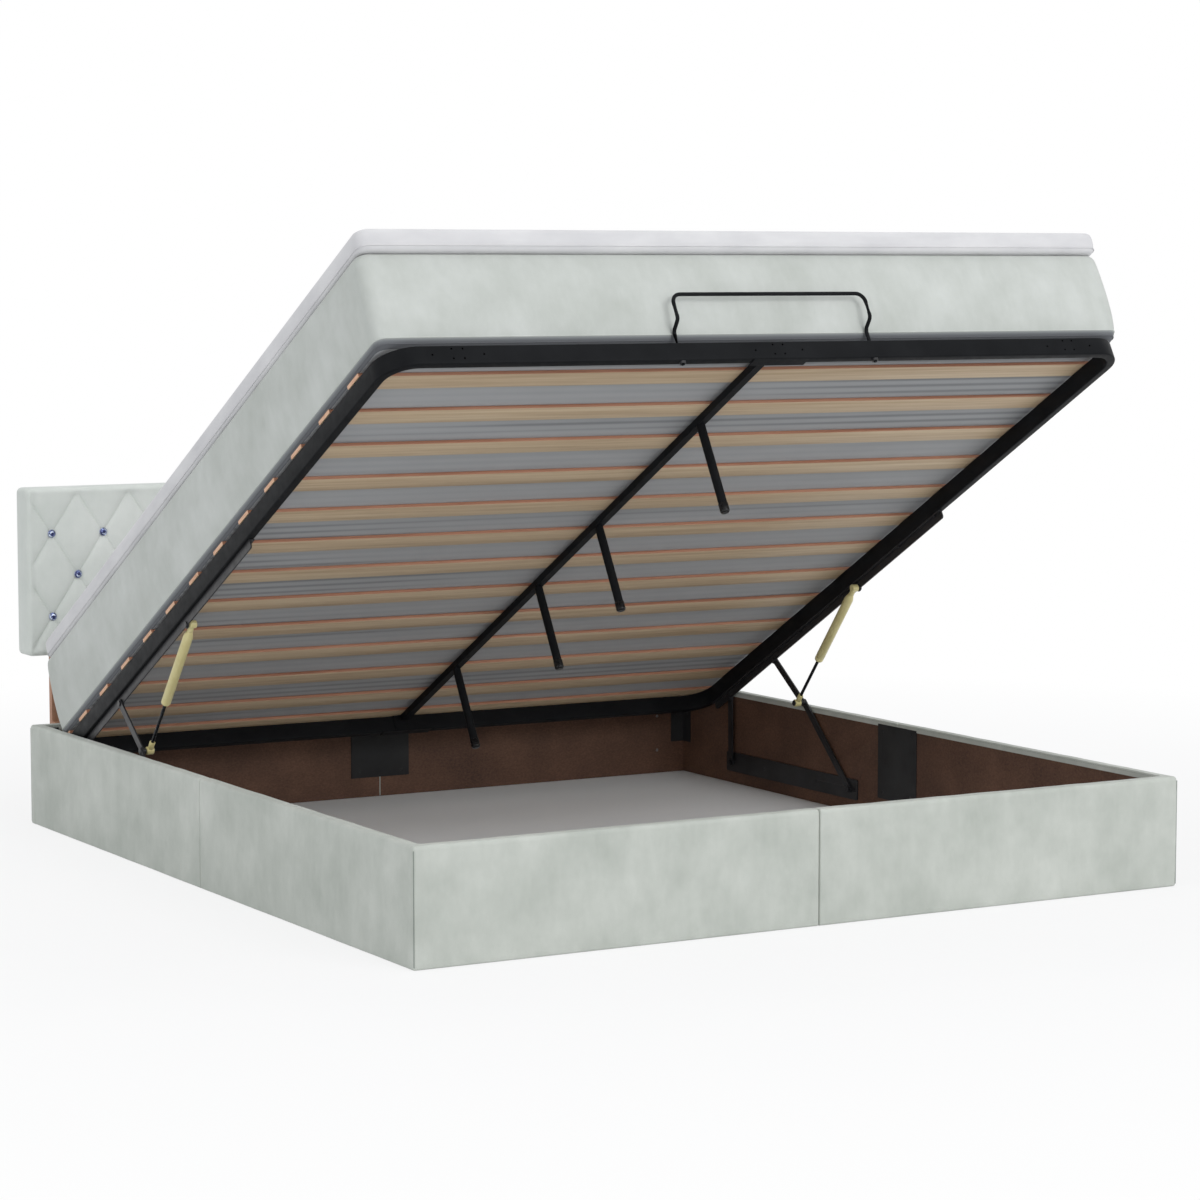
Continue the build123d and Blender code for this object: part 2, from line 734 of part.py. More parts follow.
# Frame: two bent tubes that meet over the rails, with a sleeve inside each joint
hole_places = [
    (group + offset, rise)
    for group in (-hole_group_spread, 0, hole_group_spread)
    for offset, rise in (
        (-hole_outer_spread, tube_height / 2),
        (hole_outer_spread, tube_height / 2),
        (-hole_inner_spread, hole_row_height - hole_rise),
        (-hole_inner_spread, hole_row_height + hole_rise),
        (hole_inner_spread, hole_row_height - hole_rise),
        (hole_inner_spread, hole_row_height + hole_rise),
    )
]
foot_face = Plane(
    origin=deck.from_local_coords((0, -frame_half_length, 0)), x_dir=(1, 0, 0), z_dir=-deck.y_dir
)
for end_name, end in ends:
    with BuildPart() as frame_bow:
        with BuildSketch(deck):
            RectangleRounded(2 * frame_half_width, 2 * frame_half_length, frame_corner_radius)
            RectangleRounded(
                2 * (frame_half_width - tube_width),
                2 * (frame_half_length - tube_width),
                frame_corner_radius - tube_width,
                mode=Mode.SUBTRACT,
            )
            Rectangle(
                box_width, half_length, align=(Align.CENTER, grow(-end)), mode=Mode.SUBTRACT
            )
        extrude(amount=tube_height)
        with BuildSketch(deck.offset(tube_wall)):
            RectangleRounded(
                2 * (frame_half_width - tube_wall),
                2 * (frame_half_length - tube_wall),
                frame_corner_radius - tube_wall,
            )
            RectangleRounded(
                2 * (frame_half_width - tube_width + tube_wall),
                2 * (frame_half_length - tube_width + tube_wall),
                frame_corner_radius - tube_width + tube_wall,
                mode=Mode.SUBTRACT,
            )
            Rectangle(
                box_width, half_length, align=(Align.CENTER, grow(-end)), mode=Mode.SUBTRACT
            )
        extrude(amount=tube_height - 2 * tube_wall, mode=Mode.SUBTRACT)
        if end < 0:
            with BuildSketch(foot_face):
                with Locations(*hole_places):
                    Circle(hole_radius)
            extrude(amount=-tube_wall - overrun, mode=Mode.SUBTRACT)
            add(lift_handle.part, mode=Mode.SUBTRACT)
        add(rail_bolts.part, mode=Mode.SUBTRACT)
    frame_bow.part.label = f"{end_name}_frame_bow"
    export_step(frame_bow.part, f"parts/{frame_bow.part.label}.step")

sleeve_width = tube_width - 2 * tube_wall - 2 * seat_gap
sleeve_height = tube_height - 2 * tube_wall - 2 * seat_gap
with BuildPart() as frame_sleeves:
    with BuildSketch(deck.offset(tube_wall + seat_gap)):
        with Locations((-tube_center, 0), (tube_center, 0)):
            Rectangle(sleeve_width, sleeve_length)
    extrude(amount=sleeve_height)
    with BuildSketch(deck.offset(tube_wall + seat_gap + sleeve_wall)):
        with Locations((-tube_center, 0), (tube_center, 0)):
            Rectangle(sleeve_width - 2 * sleeve_wall, sleeve_length)
    extrude(amount=sleeve_height - 2 * sleeve_wall, mode=Mode.SUBTRACT)
    add(rail_bolts.part, mode=Mode.SUBTRACT)
frame_sleeves.part.label = "frame_sleeves"
export_step(frame_sleeves.part, "parts/frame_sleeves.step")

# Centre beam on an end plate at each tube
tube_inner_face = frame_half_length - tube_width
beam_half_length = tube_inner_face - beam_tab_thickness
with BuildPart() as beam_plates:
    for _, end in ends:
        outer_edge = end * (tube_inner_face + tube_width)
        with BuildSketch(deck):
            with Locations((0, outer_edge)):
                Rectangle(beam_plate_width, beam_plate_reach, align=(Align.CENTER, grow(-end)))
        extrude(amount=-beam_plate_thickness)
        with BuildSketch(deck):
            with Locations((0, end * tube_inner_face)):
                Rectangle(beam_tab_width, beam_tab_thickness, align=(Align.CENTER, grow(-end)))
        extrude(amount=tube_height)
beam_plates.part.label = "beam_plates"
export_step(beam_plates.part, "parts/beam_plates.step")

with BuildPart() as centre_beam:
    with BuildSketch(deck.offset(tube_height - beam_height)):
        Rectangle(beam_width, 2 * beam_half_length)
    extrude(amount=beam_height)
    with BuildSketch(deck.offset(tube_height - beam_height + beam_wall)):
        Rectangle(beam_width - 2 * beam_wall, 2 * beam_half_length)
    extrude(amount=beam_height - 2 * beam_wall, mode=Mode.SUBTRACT)
centre_beam.part.label = "centre_beam"
export_step(centre_beam.part, "parts/centre_beam.step")

# Legs stand on the floor under the beam when the bed is shut
leg_top = tube_height - beam_height
cap_bottom = leg_floor_gap - shut_height
leg_bottom = cap_bottom + cap_round
with BuildPart() as legs:
    with BuildSketch(deck.offset(leg_top)):
        with Locations(*[(0, place) for place in leg_places]):
            Circle(leg_radius)
            Circle(leg_radius - leg_wall, mode=Mode.SUBTRACT)
    extrude(amount=leg_bottom - leg_top)
legs.part.label = "legs"
export_step(legs.part, "parts/legs.step")

with BuildPart() as leg_caps:
    with BuildSketch(deck.offset(cap_bottom)):
        with Locations(*[(0, place) for place in leg_places]):
            Circle(cap_radius)
    extrude(amount=cap_height)
    fillet(leg_caps.edges().filter_by(GeomType.CIRCLE).group_by(deck_up)[0], cap_round)
    with BuildSketch(deck.offset(leg_bottom)):
        with Locations(*[(0, place) for place in leg_places]):
            Circle(leg_radius)
    extrude(amount=cap_height, mode=Mode.SUBTRACT)
leg_caps.part.label = "leg_caps"
export_step(leg_caps.part, "parts/leg_caps.step")

# Slats lie across the tubes, evenly spaced, with one more on the head tube
slat_length = 2 * (frame_half_width - tube_width + slat_overlap)
slat_rows = [slat_first_inset - frame_half_length + row * slat_pitch for row in range(slat_count)]
slat_rows.append(frame_half_length - slat_width / 2)
for end_name, rows in (("foot", slat_rows[:foot_slat_count]), ("head", slat_rows[foot_slat_count:])):
    with BuildPart() as slats:
        with BuildSketch(deck.offset(tube_height)):
            with Locations(*[(0, row) for row in rows]):
                Rectangle(slat_length, slat_width)
        extrude(amount=slat_thickness)
    slats.part.label = f"{end_name}_slats"
    export_step(slats.part, f"parts/{slats.part.label}.step")

# Mattress: sides crowned and drawn in at the seam, with its lower edge rolled under
mattress_bottom = tube_height + slat_thickness
mattress_half_width = inner_half_width + mattress_side_gap
mattress_foot = mattress_foot_gap - inner_half_length
mattress_head = inner_half_length - mattress_head_gap
with BuildPart() as mattress:
    for height_share, inset_share in zip(mattress_height_shares, mattress_inset_shares):
        inset = inset_share * mattress_roll
        with BuildSketch(deck.offset(mattress_bottom + height_share * mattress_thickness)):
            with Locations((0, (mattress_foot + mattress_head) / 2)):
                RectangleRounded(
                    2 * (mattress_half_width - inset),
                    mattress_head - mattress_foot - 2 * inset,
                    mattress_corner_radius - inset,
                )
    loft(ruled=True)
mattress.part.label = "mattress"
export_step(mattress.part, "parts/mattress.step")

# Topper: lies on the mattress, pushed towards the foot, with a crowned top
topper_bottom = mattress_bottom + mattress_thickness
topper_half_width = mattress_half_width - topper_side_inset
topper_foot = mattress_foot - topper_foot_lap + topper_foot_lean
topper_head = mattress_head - topper_head_gap
topper_rows = [
    (share * topper_thickness, inset * topper_roll, share * topper_foot_lean)
    for share, inset in zip(topper_height_shares, topper_inset_shares)
]
topper_rows.append((topper_thickness + topper_crown, topper_crown_inset, topper_foot_lean))
with BuildPart() as topper:
    for height, inset, lean in topper_rows:
        with BuildSketch(deck.offset(topper_bottom + height)):
            with Locations((0, (topper_foot - lean + topper_head) / 2)):
                RectangleRounded(
                    2 * (topper_half_width - inset),
                    topper_head - topper_foot + lean - 2 * inset,
                    max(topper_corner_radius - inset, topper_roll),
                )
    loft(ruled=True)
topper.part.label = "topper"
export_step(topper.part, "parts/topper.step")

# Front link and arm, rear link and gas strut of each side
for side_name, side in sides:
    with BuildPart() as front_link:
        bar(knee, front_pin, link_width, side, link_inner, link_thickness)
        disc(knee, pin_radius, side, link_inner, link_outer, Mode.SUBTRACT)
        disc(front_pin, pin_radius + pin_play, side, link_inner, link_outer, Mode.SUBTRACT)
    front_link.part.label = f"{side_name}_front_link"
    export_step(front_link.part, f"parts/{front_link.part.label}.step")

    with BuildPart() as front_arm:
        bar(front_base_pin, knee, link_width, side, link_outer, link_thickness)
        disc(knee, pin_radius, side, link_outer, arm_outer, Mode.SUBTRACT)
        disc(front_base_pin, pin_radius + pin_play, side, link_outer, arm_outer, Mode.SUBTRACT)
    front_arm.part.label = f"{side_name}_front_arm"
    export_step(front_arm.part, f"parts/{front_arm.part.label}.step")

    with BuildPart() as knee_pin:
        disc(knee, pin_head_radius, side, arm_outer, arm_outer + knee_head_height)
        disc(knee, pin_radius, side, link_inner, arm_outer)
        disc(knee, boss_radius, side, strut_outer + seat_gap, link_inner)
        disc(knee, pin_radius, side, strut_inner - seat_gap, strut_outer + seat_gap)
        disc(knee, pin_head_radius, side, strut_inner - pin_head_height, strut_inner - seat_gap)
    knee_pin.part.label = f"{side_name}_knee_pin"
    export_step(knee_pin.part, f"parts/{knee_pin.part.label}.step")

    with BuildPart() as rear_link:
        bar(rear_base_pin, rear_pin, link_width, side, link_inner, link_thickness)
        disc(rear_base_pin, pin_radius + pin_play, side, link_inner, link_outer, Mode.SUBTRACT)
        disc(rear_pin, pin_head_radius, side, link_outer, link_outer + pin_head_height)
    rear_link.part.label = f"{side_name}_rear_link"
    export_step(rear_link.part, f"parts/{rear_link.part.label}.step")

    strut_line = strut_pin - knee
    strut_dir = Vector(0, strut_line.X, strut_line.Y).normalized()
    knee_end = Vector(side * strut_center, knee.X, knee.Y)
    pin_end = Vector(side * strut_center, strut_pin.X, strut_pin.Y)
    from_knee = Plane(origin=knee_end, x_dir=(1, 0, 0), z_dir=strut_dir)
    from_pin = Plane(origin=pin_end, x_dir=(1, 0, 0), z_dir=-strut_dir)
    rod_length = strut_line.length - strut_cylinder_length + strut_rod_travel_rest
    with BuildPart() as strut_rod:
        disc(knee, strut_eye_radius, side, strut_inner, strut_outer)
        with BuildSketch(from_knee.offset(strut_eye_radius)):
            Circle(strut_rod_end_radius)
        extrude(amount=strut_rod_end_length - strut_eye_radius)
        with BuildSketch(from_knee):
            Circle(strut_rod_radius)
        extrude(amount=rod_length)
        disc(knee, pin_radius + pin_play, side, strut_inner - overrun, strut_outer + overrun, Mode.SUBTRACT)
    strut_rod.part.label = f"{side_name}_strut_rod"
    export_step(strut_rod.part, f"parts/{strut_rod.part.label}.step")

    with BuildPart() as strut_cylinder:
        disc(strut_pin, strut_eye_radius, side, strut_inner, strut_outer)
        with BuildSketch(from_pin):
            Circle(strut_rod_radius)
        extrude(amount=strut_neck_length)
        with BuildSketch(from_pin.offset(strut_eye_radius)):
            Circle(strut_rod_end_radius)
        extrude(amount=strut_neck_length - strut_eye_radius)
        with BuildSketch(from_pin.offset(strut_neck_length)):
            Circle(strut_rod_end_radius)
        with BuildSketch(from_pin.offset(strut_shoulder_end)):
            Circle(strut_cylinder_radius)
        loft()
        with BuildSketch(from_pin.offset(strut_shoulder_end)):
            Circle(strut_cylinder_radius)
        extrude(amount=strut_cylinder_length - strut_shoulder_end)
        with BuildSketch(from_pin.offset(strut_cylinder_length)):
            Circle(strut_rod_radius + pin_play)
        extrude(amount=strut_shoulder_end - strut_cylinder_length, mode=Mode.SUBTRACT)
    strut_cylinder.part.label = f"{side_name}_strut_cylinder"
    export_step(strut_cylinder.part, f"parts/{strut_cylinder.part.label}.step")
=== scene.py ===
# %% [markdown]
# # An upholstered bed, standing open
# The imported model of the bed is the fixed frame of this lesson: its boards, tubes, links and struts are already
# at their real size and place. What is missing is the look of the real thing: velvet over foam, a tufted
# headboard with crystals, a mattress that is sewn and stuffed, wood with a grain and paint with soft edges.
# Everything is in metres, with the floor at z = 0 and the foot end of the bed towards -Y.

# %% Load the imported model
import bpy
import bmesh
import json
import math
import numpy as np
from mathutils import Matrix, Vector, noise

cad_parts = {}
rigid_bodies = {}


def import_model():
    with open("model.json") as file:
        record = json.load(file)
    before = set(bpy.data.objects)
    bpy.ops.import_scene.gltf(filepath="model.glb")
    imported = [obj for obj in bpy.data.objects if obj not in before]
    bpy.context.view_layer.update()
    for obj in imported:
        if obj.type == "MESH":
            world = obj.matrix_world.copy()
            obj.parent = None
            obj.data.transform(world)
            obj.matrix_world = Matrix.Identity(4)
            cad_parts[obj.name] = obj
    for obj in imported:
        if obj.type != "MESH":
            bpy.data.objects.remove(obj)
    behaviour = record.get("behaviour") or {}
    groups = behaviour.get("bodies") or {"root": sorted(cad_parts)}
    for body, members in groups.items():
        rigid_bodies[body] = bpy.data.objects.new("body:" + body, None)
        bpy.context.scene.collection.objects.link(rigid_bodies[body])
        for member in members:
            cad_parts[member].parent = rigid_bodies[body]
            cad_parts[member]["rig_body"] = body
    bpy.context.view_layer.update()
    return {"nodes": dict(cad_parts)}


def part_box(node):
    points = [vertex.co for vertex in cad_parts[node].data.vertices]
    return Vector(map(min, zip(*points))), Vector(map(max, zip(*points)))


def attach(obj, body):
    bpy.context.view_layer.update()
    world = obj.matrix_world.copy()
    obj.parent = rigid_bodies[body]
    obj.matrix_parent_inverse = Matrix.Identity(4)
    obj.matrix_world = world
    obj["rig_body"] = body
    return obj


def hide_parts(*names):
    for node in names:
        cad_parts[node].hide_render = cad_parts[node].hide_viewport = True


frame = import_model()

# %% [markdown]
# The platform stands lifted, so its tubes, slats and mattress are tilted. It is much easier to model them lying
# flat, with y along the platform and z away from its tubes, and to tilt the finished mesh with one matrix.

# %% The platform's own plane
MM = 0.001
LIFT = math.radians(29.3)
deck = Matrix.Translation((0, -36 * MM, 656.2 * MM)) @ Matrix.Rotation(-LIFT, 4, "X")
BOX_Y = -31.5 * MM
print("platform origin", tuple(round(v, 4) for v in deck.translation))

# %% [markdown]
# ## Camera
# The camera stands low in front of the foot end, far off, with a long lens: that keeps the bed's upright edges
# nearly parallel, as in a catalogue picture. It looks down by five degrees, and its lens has no shift, so any
# other view round the bed stays true too.

# %% Camera
camera = bpy.data.objects.new("camera", bpy.data.cameras.new("camera"))
camera.data.sensor_width = 36
camera.data.lens = 104.156
camera.data.clip_end = 200
camera.location = (-3.81283, -6.81833, 1.31963)
camera.rotation_euler = (math.radians(90 - 5.4538), 0, math.radians(-29.7788))
bpy.context.scene.collection.objects.link(camera)
bpy.context.scene.camera = camera
bpy.context.scene.view_settings.view_transform = "Standard"
print("camera at", tuple(camera.location))

# %% [markdown]
# ## Node trees in one line each
# Shader and Geometry Nodes trees are made of the same things: a node, its settings and its inputs. One helper
# adds a node and fills or links its inputs by name, so that the recipes below stay short.


# %% Helpers for node trees
def node(tree, kind, settings=None, **inputs):
    """Adds a node. An input is given by name, with _ for a space, or by number as in _2.

    It is a value, a socket, or a node, whose first output is then linked."""
    made = tree.nodes.new(kind)
    for key, value in (settings or {}).items():
        setattr(made, key, value)
    for key, value in inputs.items():
        socket = made.inputs[int(key[1:]) if key[1:].isdigit() else key.replace("_", " ")]
        value = value.outputs[0] if isinstance(value, bpy.types.Node) else value
        if isinstance(value, bpy.types.NodeSocket):
            tree.links.new(value, socket)
        else:
            socket.default_value = value
    return made


def feed(tree, target, **sources):
    """Links sockets to the inputs of a node that is there already."""
    for key, source in sources.items():
        tree.links.new(source, target.inputs[key.replace("_", " ")])


def reckon(tree, operation, first, second=0.0):
    """A sum, product or other result of two numbers."""
    return node(tree, "ShaderNodeMath", {"operation": operation}, _0=first, _1=second).outputs[0]


def rgb(red, green, blue):
    """A colour as a paint chart gives it, 0 to 255, turned into the linear light that a shader needs."""
    parts = [part / 255 for part in (red, green, blue)]
    return (*[part / 12.92 if part <= 0.04045 else ((part + 0.055) / 1.055) ** 2.4 for part in parts], 1)


def grey(level):
    """A plain value as a ramp colour."""
    return (level, level, level, 1)


def finish_of(name, **sockets):
    """A new material and its shader. Values that are the same all over are set on the shader itself."""
    material = bpy.data.materials.new(name)
    material.use_nodes = True
    shader = material.node_tree.nodes["Principled BSDF"]
    for key, value in sockets.items():
        shader.inputs[key.replace("_", " ")].default_value = value
    return material, material.node_tree, shader


def place(tree, size, turn=0.0):
    """The piece's own coordinates, counted in features of this size and tilted about X."""
    size = size if hasattr(size, "__len__") else (size, size, size)
    own = node(tree, "ShaderNodeTexCoord").outputs["Object"]
    return node(tree, "ShaderNodeMapping", {"vector_type": "TEXTURE"}, Vector=own, Rotation=(turn, 0, 0), Scale=size)


def cloud(tree, where, detail=3.0, roughness=0.5):
    """Soft random values about 0.5, one feature for each unit."""
    return node(tree, "ShaderNodeTexNoise", Vector=where, Scale=1.0, Detail=detail, Roughness=roughness).outputs["Fac"]


def waves_of(tree, direction, where):
    """Even waves, one for each unit."""
    settings = {"bands_direction": direction}
    return node(tree, "ShaderNodeTexWave", settings, Vector=where, Scale=0.3142).outputs["Fac"]


def blend_of(tree, first, second, share):
    """Two values mixed, with the given share of the second."""
    return node(tree, "ShaderNodeMix", {"data_type": "FLOAT"}, _0=share, _2=first, _3=second).outputs[0]


def ramp(tree, value, *stops):
    """Colours along a value: each stop is its place and its colour."""
    made = node(tree, "ShaderNodeValToRGB", Fac=value)
    while len(made.color_ramp.elements) < len(stops):
        made.color_ramp.elements.new(0.5)
    for element, (position, colour) in zip(made.color_ramp.elements, stops):
        element.position = position
        element.color = colour
    return made.outputs["Color"]


def emboss(tree, shader, height, depth, strength=1.0):
    """Raises the surface by a height map, depth metres deep."""
    before = shader.inputs["Normal"].links
    made = node(tree, "ShaderNodeBump", Height=height, Distance=depth, Strength=strength)
    if before:
        feed(tree, made, Normal=before[0].from_socket)
    feed(tree, shader, Normal=made.outputs[0])


print("white is", rgb(255, 255, 255))

# %% [markdown]
# ## Velvet
# Brushed velvet is never one grey. Its pile lies in cloudy patches as wide as a hand, with short streaks up and
# down where it was stroked, and it lightens where it is seen edge-on. The patches and streaks are noises of
# different shape, the pile is a very fine bump, and the light rim is the shader's sheen. The mattress border is
# the same cloth on a tilted piece, so its pattern is tilted with it.


# %% Velvet
def velvet(name, dark, light, turn=0.0):
    sheen = {"Sheen_Weight": 0.28, "Sheen_Roughness": 0.32}
    material, tree, shader = finish_of(name, Roughness=0.86, Specular_IOR_Level=0.22, **sheen)
    patches = cloud(tree, place(tree, (0.17, 0.17, 0.15), turn), 5.0, 0.55)
    streaks = cloud(tree, place(tree, (0.03, 0.03, 0.11), turn), 3.0, 0.6)
    stroked = cloud(tree, place(tree, (0.05, 0.05, 0.075), turn), 4.0, 0.65)
    marks = blend_of(tree, patches, blend_of(tree, streaks, stroked, 0.6), 0.4)
    colour = ramp(tree, marks, (0.33, dark), (0.67, light))
    feed(tree, shader, Base_Color=colour, Roughness=ramp(tree, marks, (0.3, grey(0.92)), (0.7, grey(0.78))))
    emboss(tree, shader, marks, 0.0035, 0.5)
    emboss(tree, shader, cloud(tree, place(tree, 0.0016), 2.0), 0.0004, 0.35)
    return material


box_velvet = velvet("box_velvet", rgb(182, 187, 179), rgb(210, 213, 206))
deck_velvet = velvet("mattress_velvet", rgb(188, 192, 186), rgb(210, 213, 209), -LIFT)
pad_velvet = velvet("headboard_velvet", rgb(211, 216, 210), rgb(229, 232, 227))
seam_velvet = velvet("seam_velvet", rgb(132, 139, 132), rgb(156, 163, 156))
print("velvets:", box_velvet.name, deck_velvet.name, pad_velvet.name, seam_velvet.name)

# %% [markdown]
# ## Cloth of the mattress and topper
# The topper's white knit is a fine regular weave. Under the mattress the ticking is grey, with thin darker lines
# that run across the bed, as seen between the slats. Between velvet and ticking the cloth rolls under, and its
# colour is painted darker the closer it comes to the slats, as painted shade where the roll turns under.


# %% Mattress and topper cloth
WEAVE, KNIT, TICKING_LINES = 0.0012, 0.0024, 0.0285


def ticking(name):
    material, tree, shader = finish_of(name, Roughness=0.88, Sheen_Weight=0.15)
    lines = waves_of(tree, "Y", place(tree, (1, TICKING_LINES, 1), -LIFT))
    soft = cloud(tree, place(tree, (0.3, 0.05, 0.3), -LIFT), 3.0)
    somewhere = cloud(tree, place(tree, (3.0, 0.2, 3.0), -LIFT), 1.0)
    plain = ramp(tree, somewhere, (0.42, grey(0.0)), (0.56, grey(1.0)))
    shown = blend_of(tree, lines, plain, 0.5)
    colour = ramp(tree, shown, (0.04, rgb(136, 138, 140)), (0.3, rgb(164, 166, 168)), (0.8, rgb(172, 173, 174)))
    shade = ramp(tree, soft, (0.3, grey(0.8)), (0.7, grey(1.0)))
    multiply = {"data_type": "RGBA", "blend_type": "MULTIPLY"}
    feed(tree, shader, Base_Color=node(tree, "ShaderNodeMix", multiply, _0=0.35, _6=colour, _7=shade).outputs[2])
    emboss(tree, shader, cloud(tree, place(tree, WEAVE), 1.5), 0.0003, 0.4)
    return material


def shaded_roll_cloth(name, *stops):
    """Painted shade on cloth that rolls under: each stop is a height over the platform's plane and a colour."""
    material, tree, shader = finish_of(name, Roughness=0.85, Sheen_Weight=0.2, Sheen_Roughness=0.4)
    flat = place(tree, 1.0, -LIFT)
    flat.inputs["Location"].default_value = deck.translation
    low, high = stops[0][0], stops[-1][0]
    height = node(tree, "ShaderNodeSeparateXYZ", Vector=flat).outputs["Z"]
    share = node(tree, "ShaderNodeMapRange", Value=height, From_Min=low, From_Max=high)
    parts = [((stop - low) / (high - low), colour) for stop, colour in stops]
    feed(tree, shader, Base_Color=ramp(tree, share, *parts))
    emboss(tree, shader, cloud(tree, place(tree, WEAVE), 1.5), 0.0003, 0.4)
    return material


def knit(name, shade, colour):
    material, tree, shader = finish_of(name, Roughness=0.82, Sheen_Weight=0.2, Sheen_Roughness=0.4)
    rows, columns = (waves_of(tree, direction, place(tree, KNIT, -LIFT)) for direction in "YX")
    soft = cloud(tree, place(tree, (0.12, 0.12, 0.05), -LIFT), 3.0)
    feed(tree, shader, Base_Color=ramp(tree, soft, (0.3, shade), (0.7, colour)))
    emboss(tree, shader, blend_of(tree, rows, columns, 0.5), 0.0003, 0.25)
    emboss(tree, shader, soft, 0.004, 0.35)
    return material


mattress_ticking = ticking("mattress_ticking")
# Painted shade: the band's colour falls from velvet grey to dark grey towards the slats, where the roll turns under.
band_shade_stops = (
    (0.046, rgb(104, 106, 110)), (0.053, rgb(96, 98, 102)), (0.059, rgb(116, 119, 122)), (0.066, rgb(168, 172, 169))
)
band_cloth = shaded_roll_cloth("band_cloth", *band_shade_stops)
topper_knit = knit("topper_knit", rgb(212, 211, 213), rgb(226, 225, 226))
print("cloths:", mattress_ticking.name, band_cloth.name, topper_knit.name)

# %% [markdown]
# ## Paint, zinc and plastic
# Powder paint has a slight orange-peel skin and catches a soft line of light on each edge. The lift is painted a
# shade lighter than the frame. The bolts are plated, bright and a little blotchy, the screws are blackened, and the
# leg caps are glossy plastic.


# %% Metals and plastics
def powder_paint(name, dark, light, gloss=0.42, peel=0.25, shine=0.13):
    material, tree, shader = finish_of(name, Specular_IOR_Level=shine)
    tone = cloud(tree, place(tree, 0.11), 4.0, 0.6)
    worn = cloud(tree, place(tree, 0.02), 3.0, 0.65)
    rough = ramp(tree, worn, (0.3, grey(gloss + 0.08)), (0.7, grey(gloss - 0.06)))
    feed(tree, shader, Base_Color=ramp(tree, tone, (0.35, dark), (0.68, light)), Roughness=rough)
    emboss(tree, shader, cloud(tree, place(tree, 0.0022), 2.0), 0.0002, peel)
    return material


def plated(name, dark, light, roughness):
    material, tree, shader = finish_of(name, Metallic=0.95)
    blotch = cloud(tree, place(tree, 0.009), 4.0, 0.62)
    rough = ramp(tree, blotch, (0.3, grey(roughness + 0.12)), (0.7, grey(roughness - 0.08)))
    feed(tree, shader, Base_Color=ramp(tree, blotch, (0.3, dark), (0.7, light)), Roughness=rough)
    emboss(tree, shader, cloud(tree, place(tree, (0.002, 0.0006, 0.002)), 2.0), 0.0001, 0.3)
    return material


frame_paint = powder_paint("frame_paint", rgb(23, 24, 26), rgb(30, 31, 33), shine=0.05)
lift_paint = powder_paint("lift_paint", rgb(36, 36, 38), rgb(50, 50, 52), 0.36, shine=0.3)
strut_paint = powder_paint("strut_paint", rgb(206, 194, 136), rgb(226, 216, 160), 0.32, 0.12, 0.4)
blackened = powder_paint("blackened_steel", rgb(30, 30, 32), rgb(46, 46, 49), 0.34, 0.15, 0.4)
strut_steel = plated("strut_rod_steel", rgb(26, 27, 30), rgb(44, 46, 50), 0.24)
zinc = plated("zinc", rgb(150, 152, 156), rgb(196, 198, 202), 0.34)
plate_steel = powder_paint("plate_steel", rgb(46, 46, 47), rgb(58, 58, 59), 0.36)
cap_plastic = powder_paint("cap_plastic", rgb(14, 14, 15), rgb(24, 24, 26), 0.24, 0.1, 0.3)
print("paints:", frame_paint.name, lift_paint.name, strut_paint.name, cap_plastic.name)

# %% [markdown]
# ## Boards and timber
# The box's boards are dark pressed fibre: no grain, only fine flecks. The headboard's posts are reddish solid
# wood. The slats are bent plywood, pale on their faces and terracotta on their cut edges. A grain is one noise,
# stretched far along the wood and squeezed across it.


# %% Woods
def wood(name, size, tones, roughness=0.55, turn=0.0, broad=None, detail=6.0, flecks=0.66, share=0.35, raised=0.35):
    """Two noises mixed into a tone, three colours along it, and the finer noise raised."""
    material, tree, shader = finish_of(name, Roughness=roughness)
    fine = cloud(tree, place(tree, size, turn), detail, flecks)
    coarse = cloud(tree, place(tree, broad or [part * 4 for part in size], turn), 2.0)
    stops = zip((0.36, 0.5, 0.64), [rgb(*tone) for tone in tones])
    feed(tree, shader, Base_Color=ramp(tree, blend_of(tree, fine, coarse, share), *stops))
    emboss(tree, shader, fine, 0.0004, raised)
    return material


fibre = {"broad": 0.16, "detail": 5.0, "flecks": 0.7, "share": 0.45, "raised": 0.4}
fibre_tones = (74, 50, 38), (96, 67, 51), (116, 83, 64)
post_tones = (146, 102, 79), (176, 130, 104), (196, 152, 124)
veneer_tones = (184, 159, 128), (202, 178, 146), (214, 193, 162)
edge_tones = (166, 112, 86), (188, 132, 104), (204, 150, 122)
# Painted light: the slat ends are a paler, lit copy of the cut-edge tones.
lit_end_tones = (206, 156, 124), (222, 176, 144), (232, 192, 162)
board_brown = wood("fibre_board", (0.006, 0.006, 0.004), fibre_tones, 0.72, **fibre)
post_wood = wood("post_wood", (0.012, 0.012, 0.3), post_tones)
slat_veneer = wood("slat_veneer", (0.42, 0.009, 0.009), veneer_tones, 0.5, -LIFT)
slat_edge = wood("slat_edge", (0.3, 0.004, 0.004), edge_tones, 0.6, -LIFT)
slat_end = wood("slat_end", (0.01, 0.02, 0.003), lit_end_tones, 0.6, -LIFT)
print("woods:", board_brown.name, post_wood.name, slat_veneer.name, slat_edge.name)

# %% [markdown]
# ## Crystal
# A cut crystal is mostly what it mirrors: neighbouring facets are white, blue or almost black, whatever stands
# near. Here those reflections are painted: each facet carries its own tint as a face attribute, and the material
# turns it into a colour from near black through blue to white, over the shader's own real gloss.

# %% Crystal and its rim
crystal, tree, shader = finish_of("crystal", Metallic=0.55, Roughness=0.08, Coat_Weight=0.6, Coat_Roughness=0.03)
tint = node(tree, "ShaderNodeAttribute", {"attribute_name": "tint"}).outputs["Fac"]
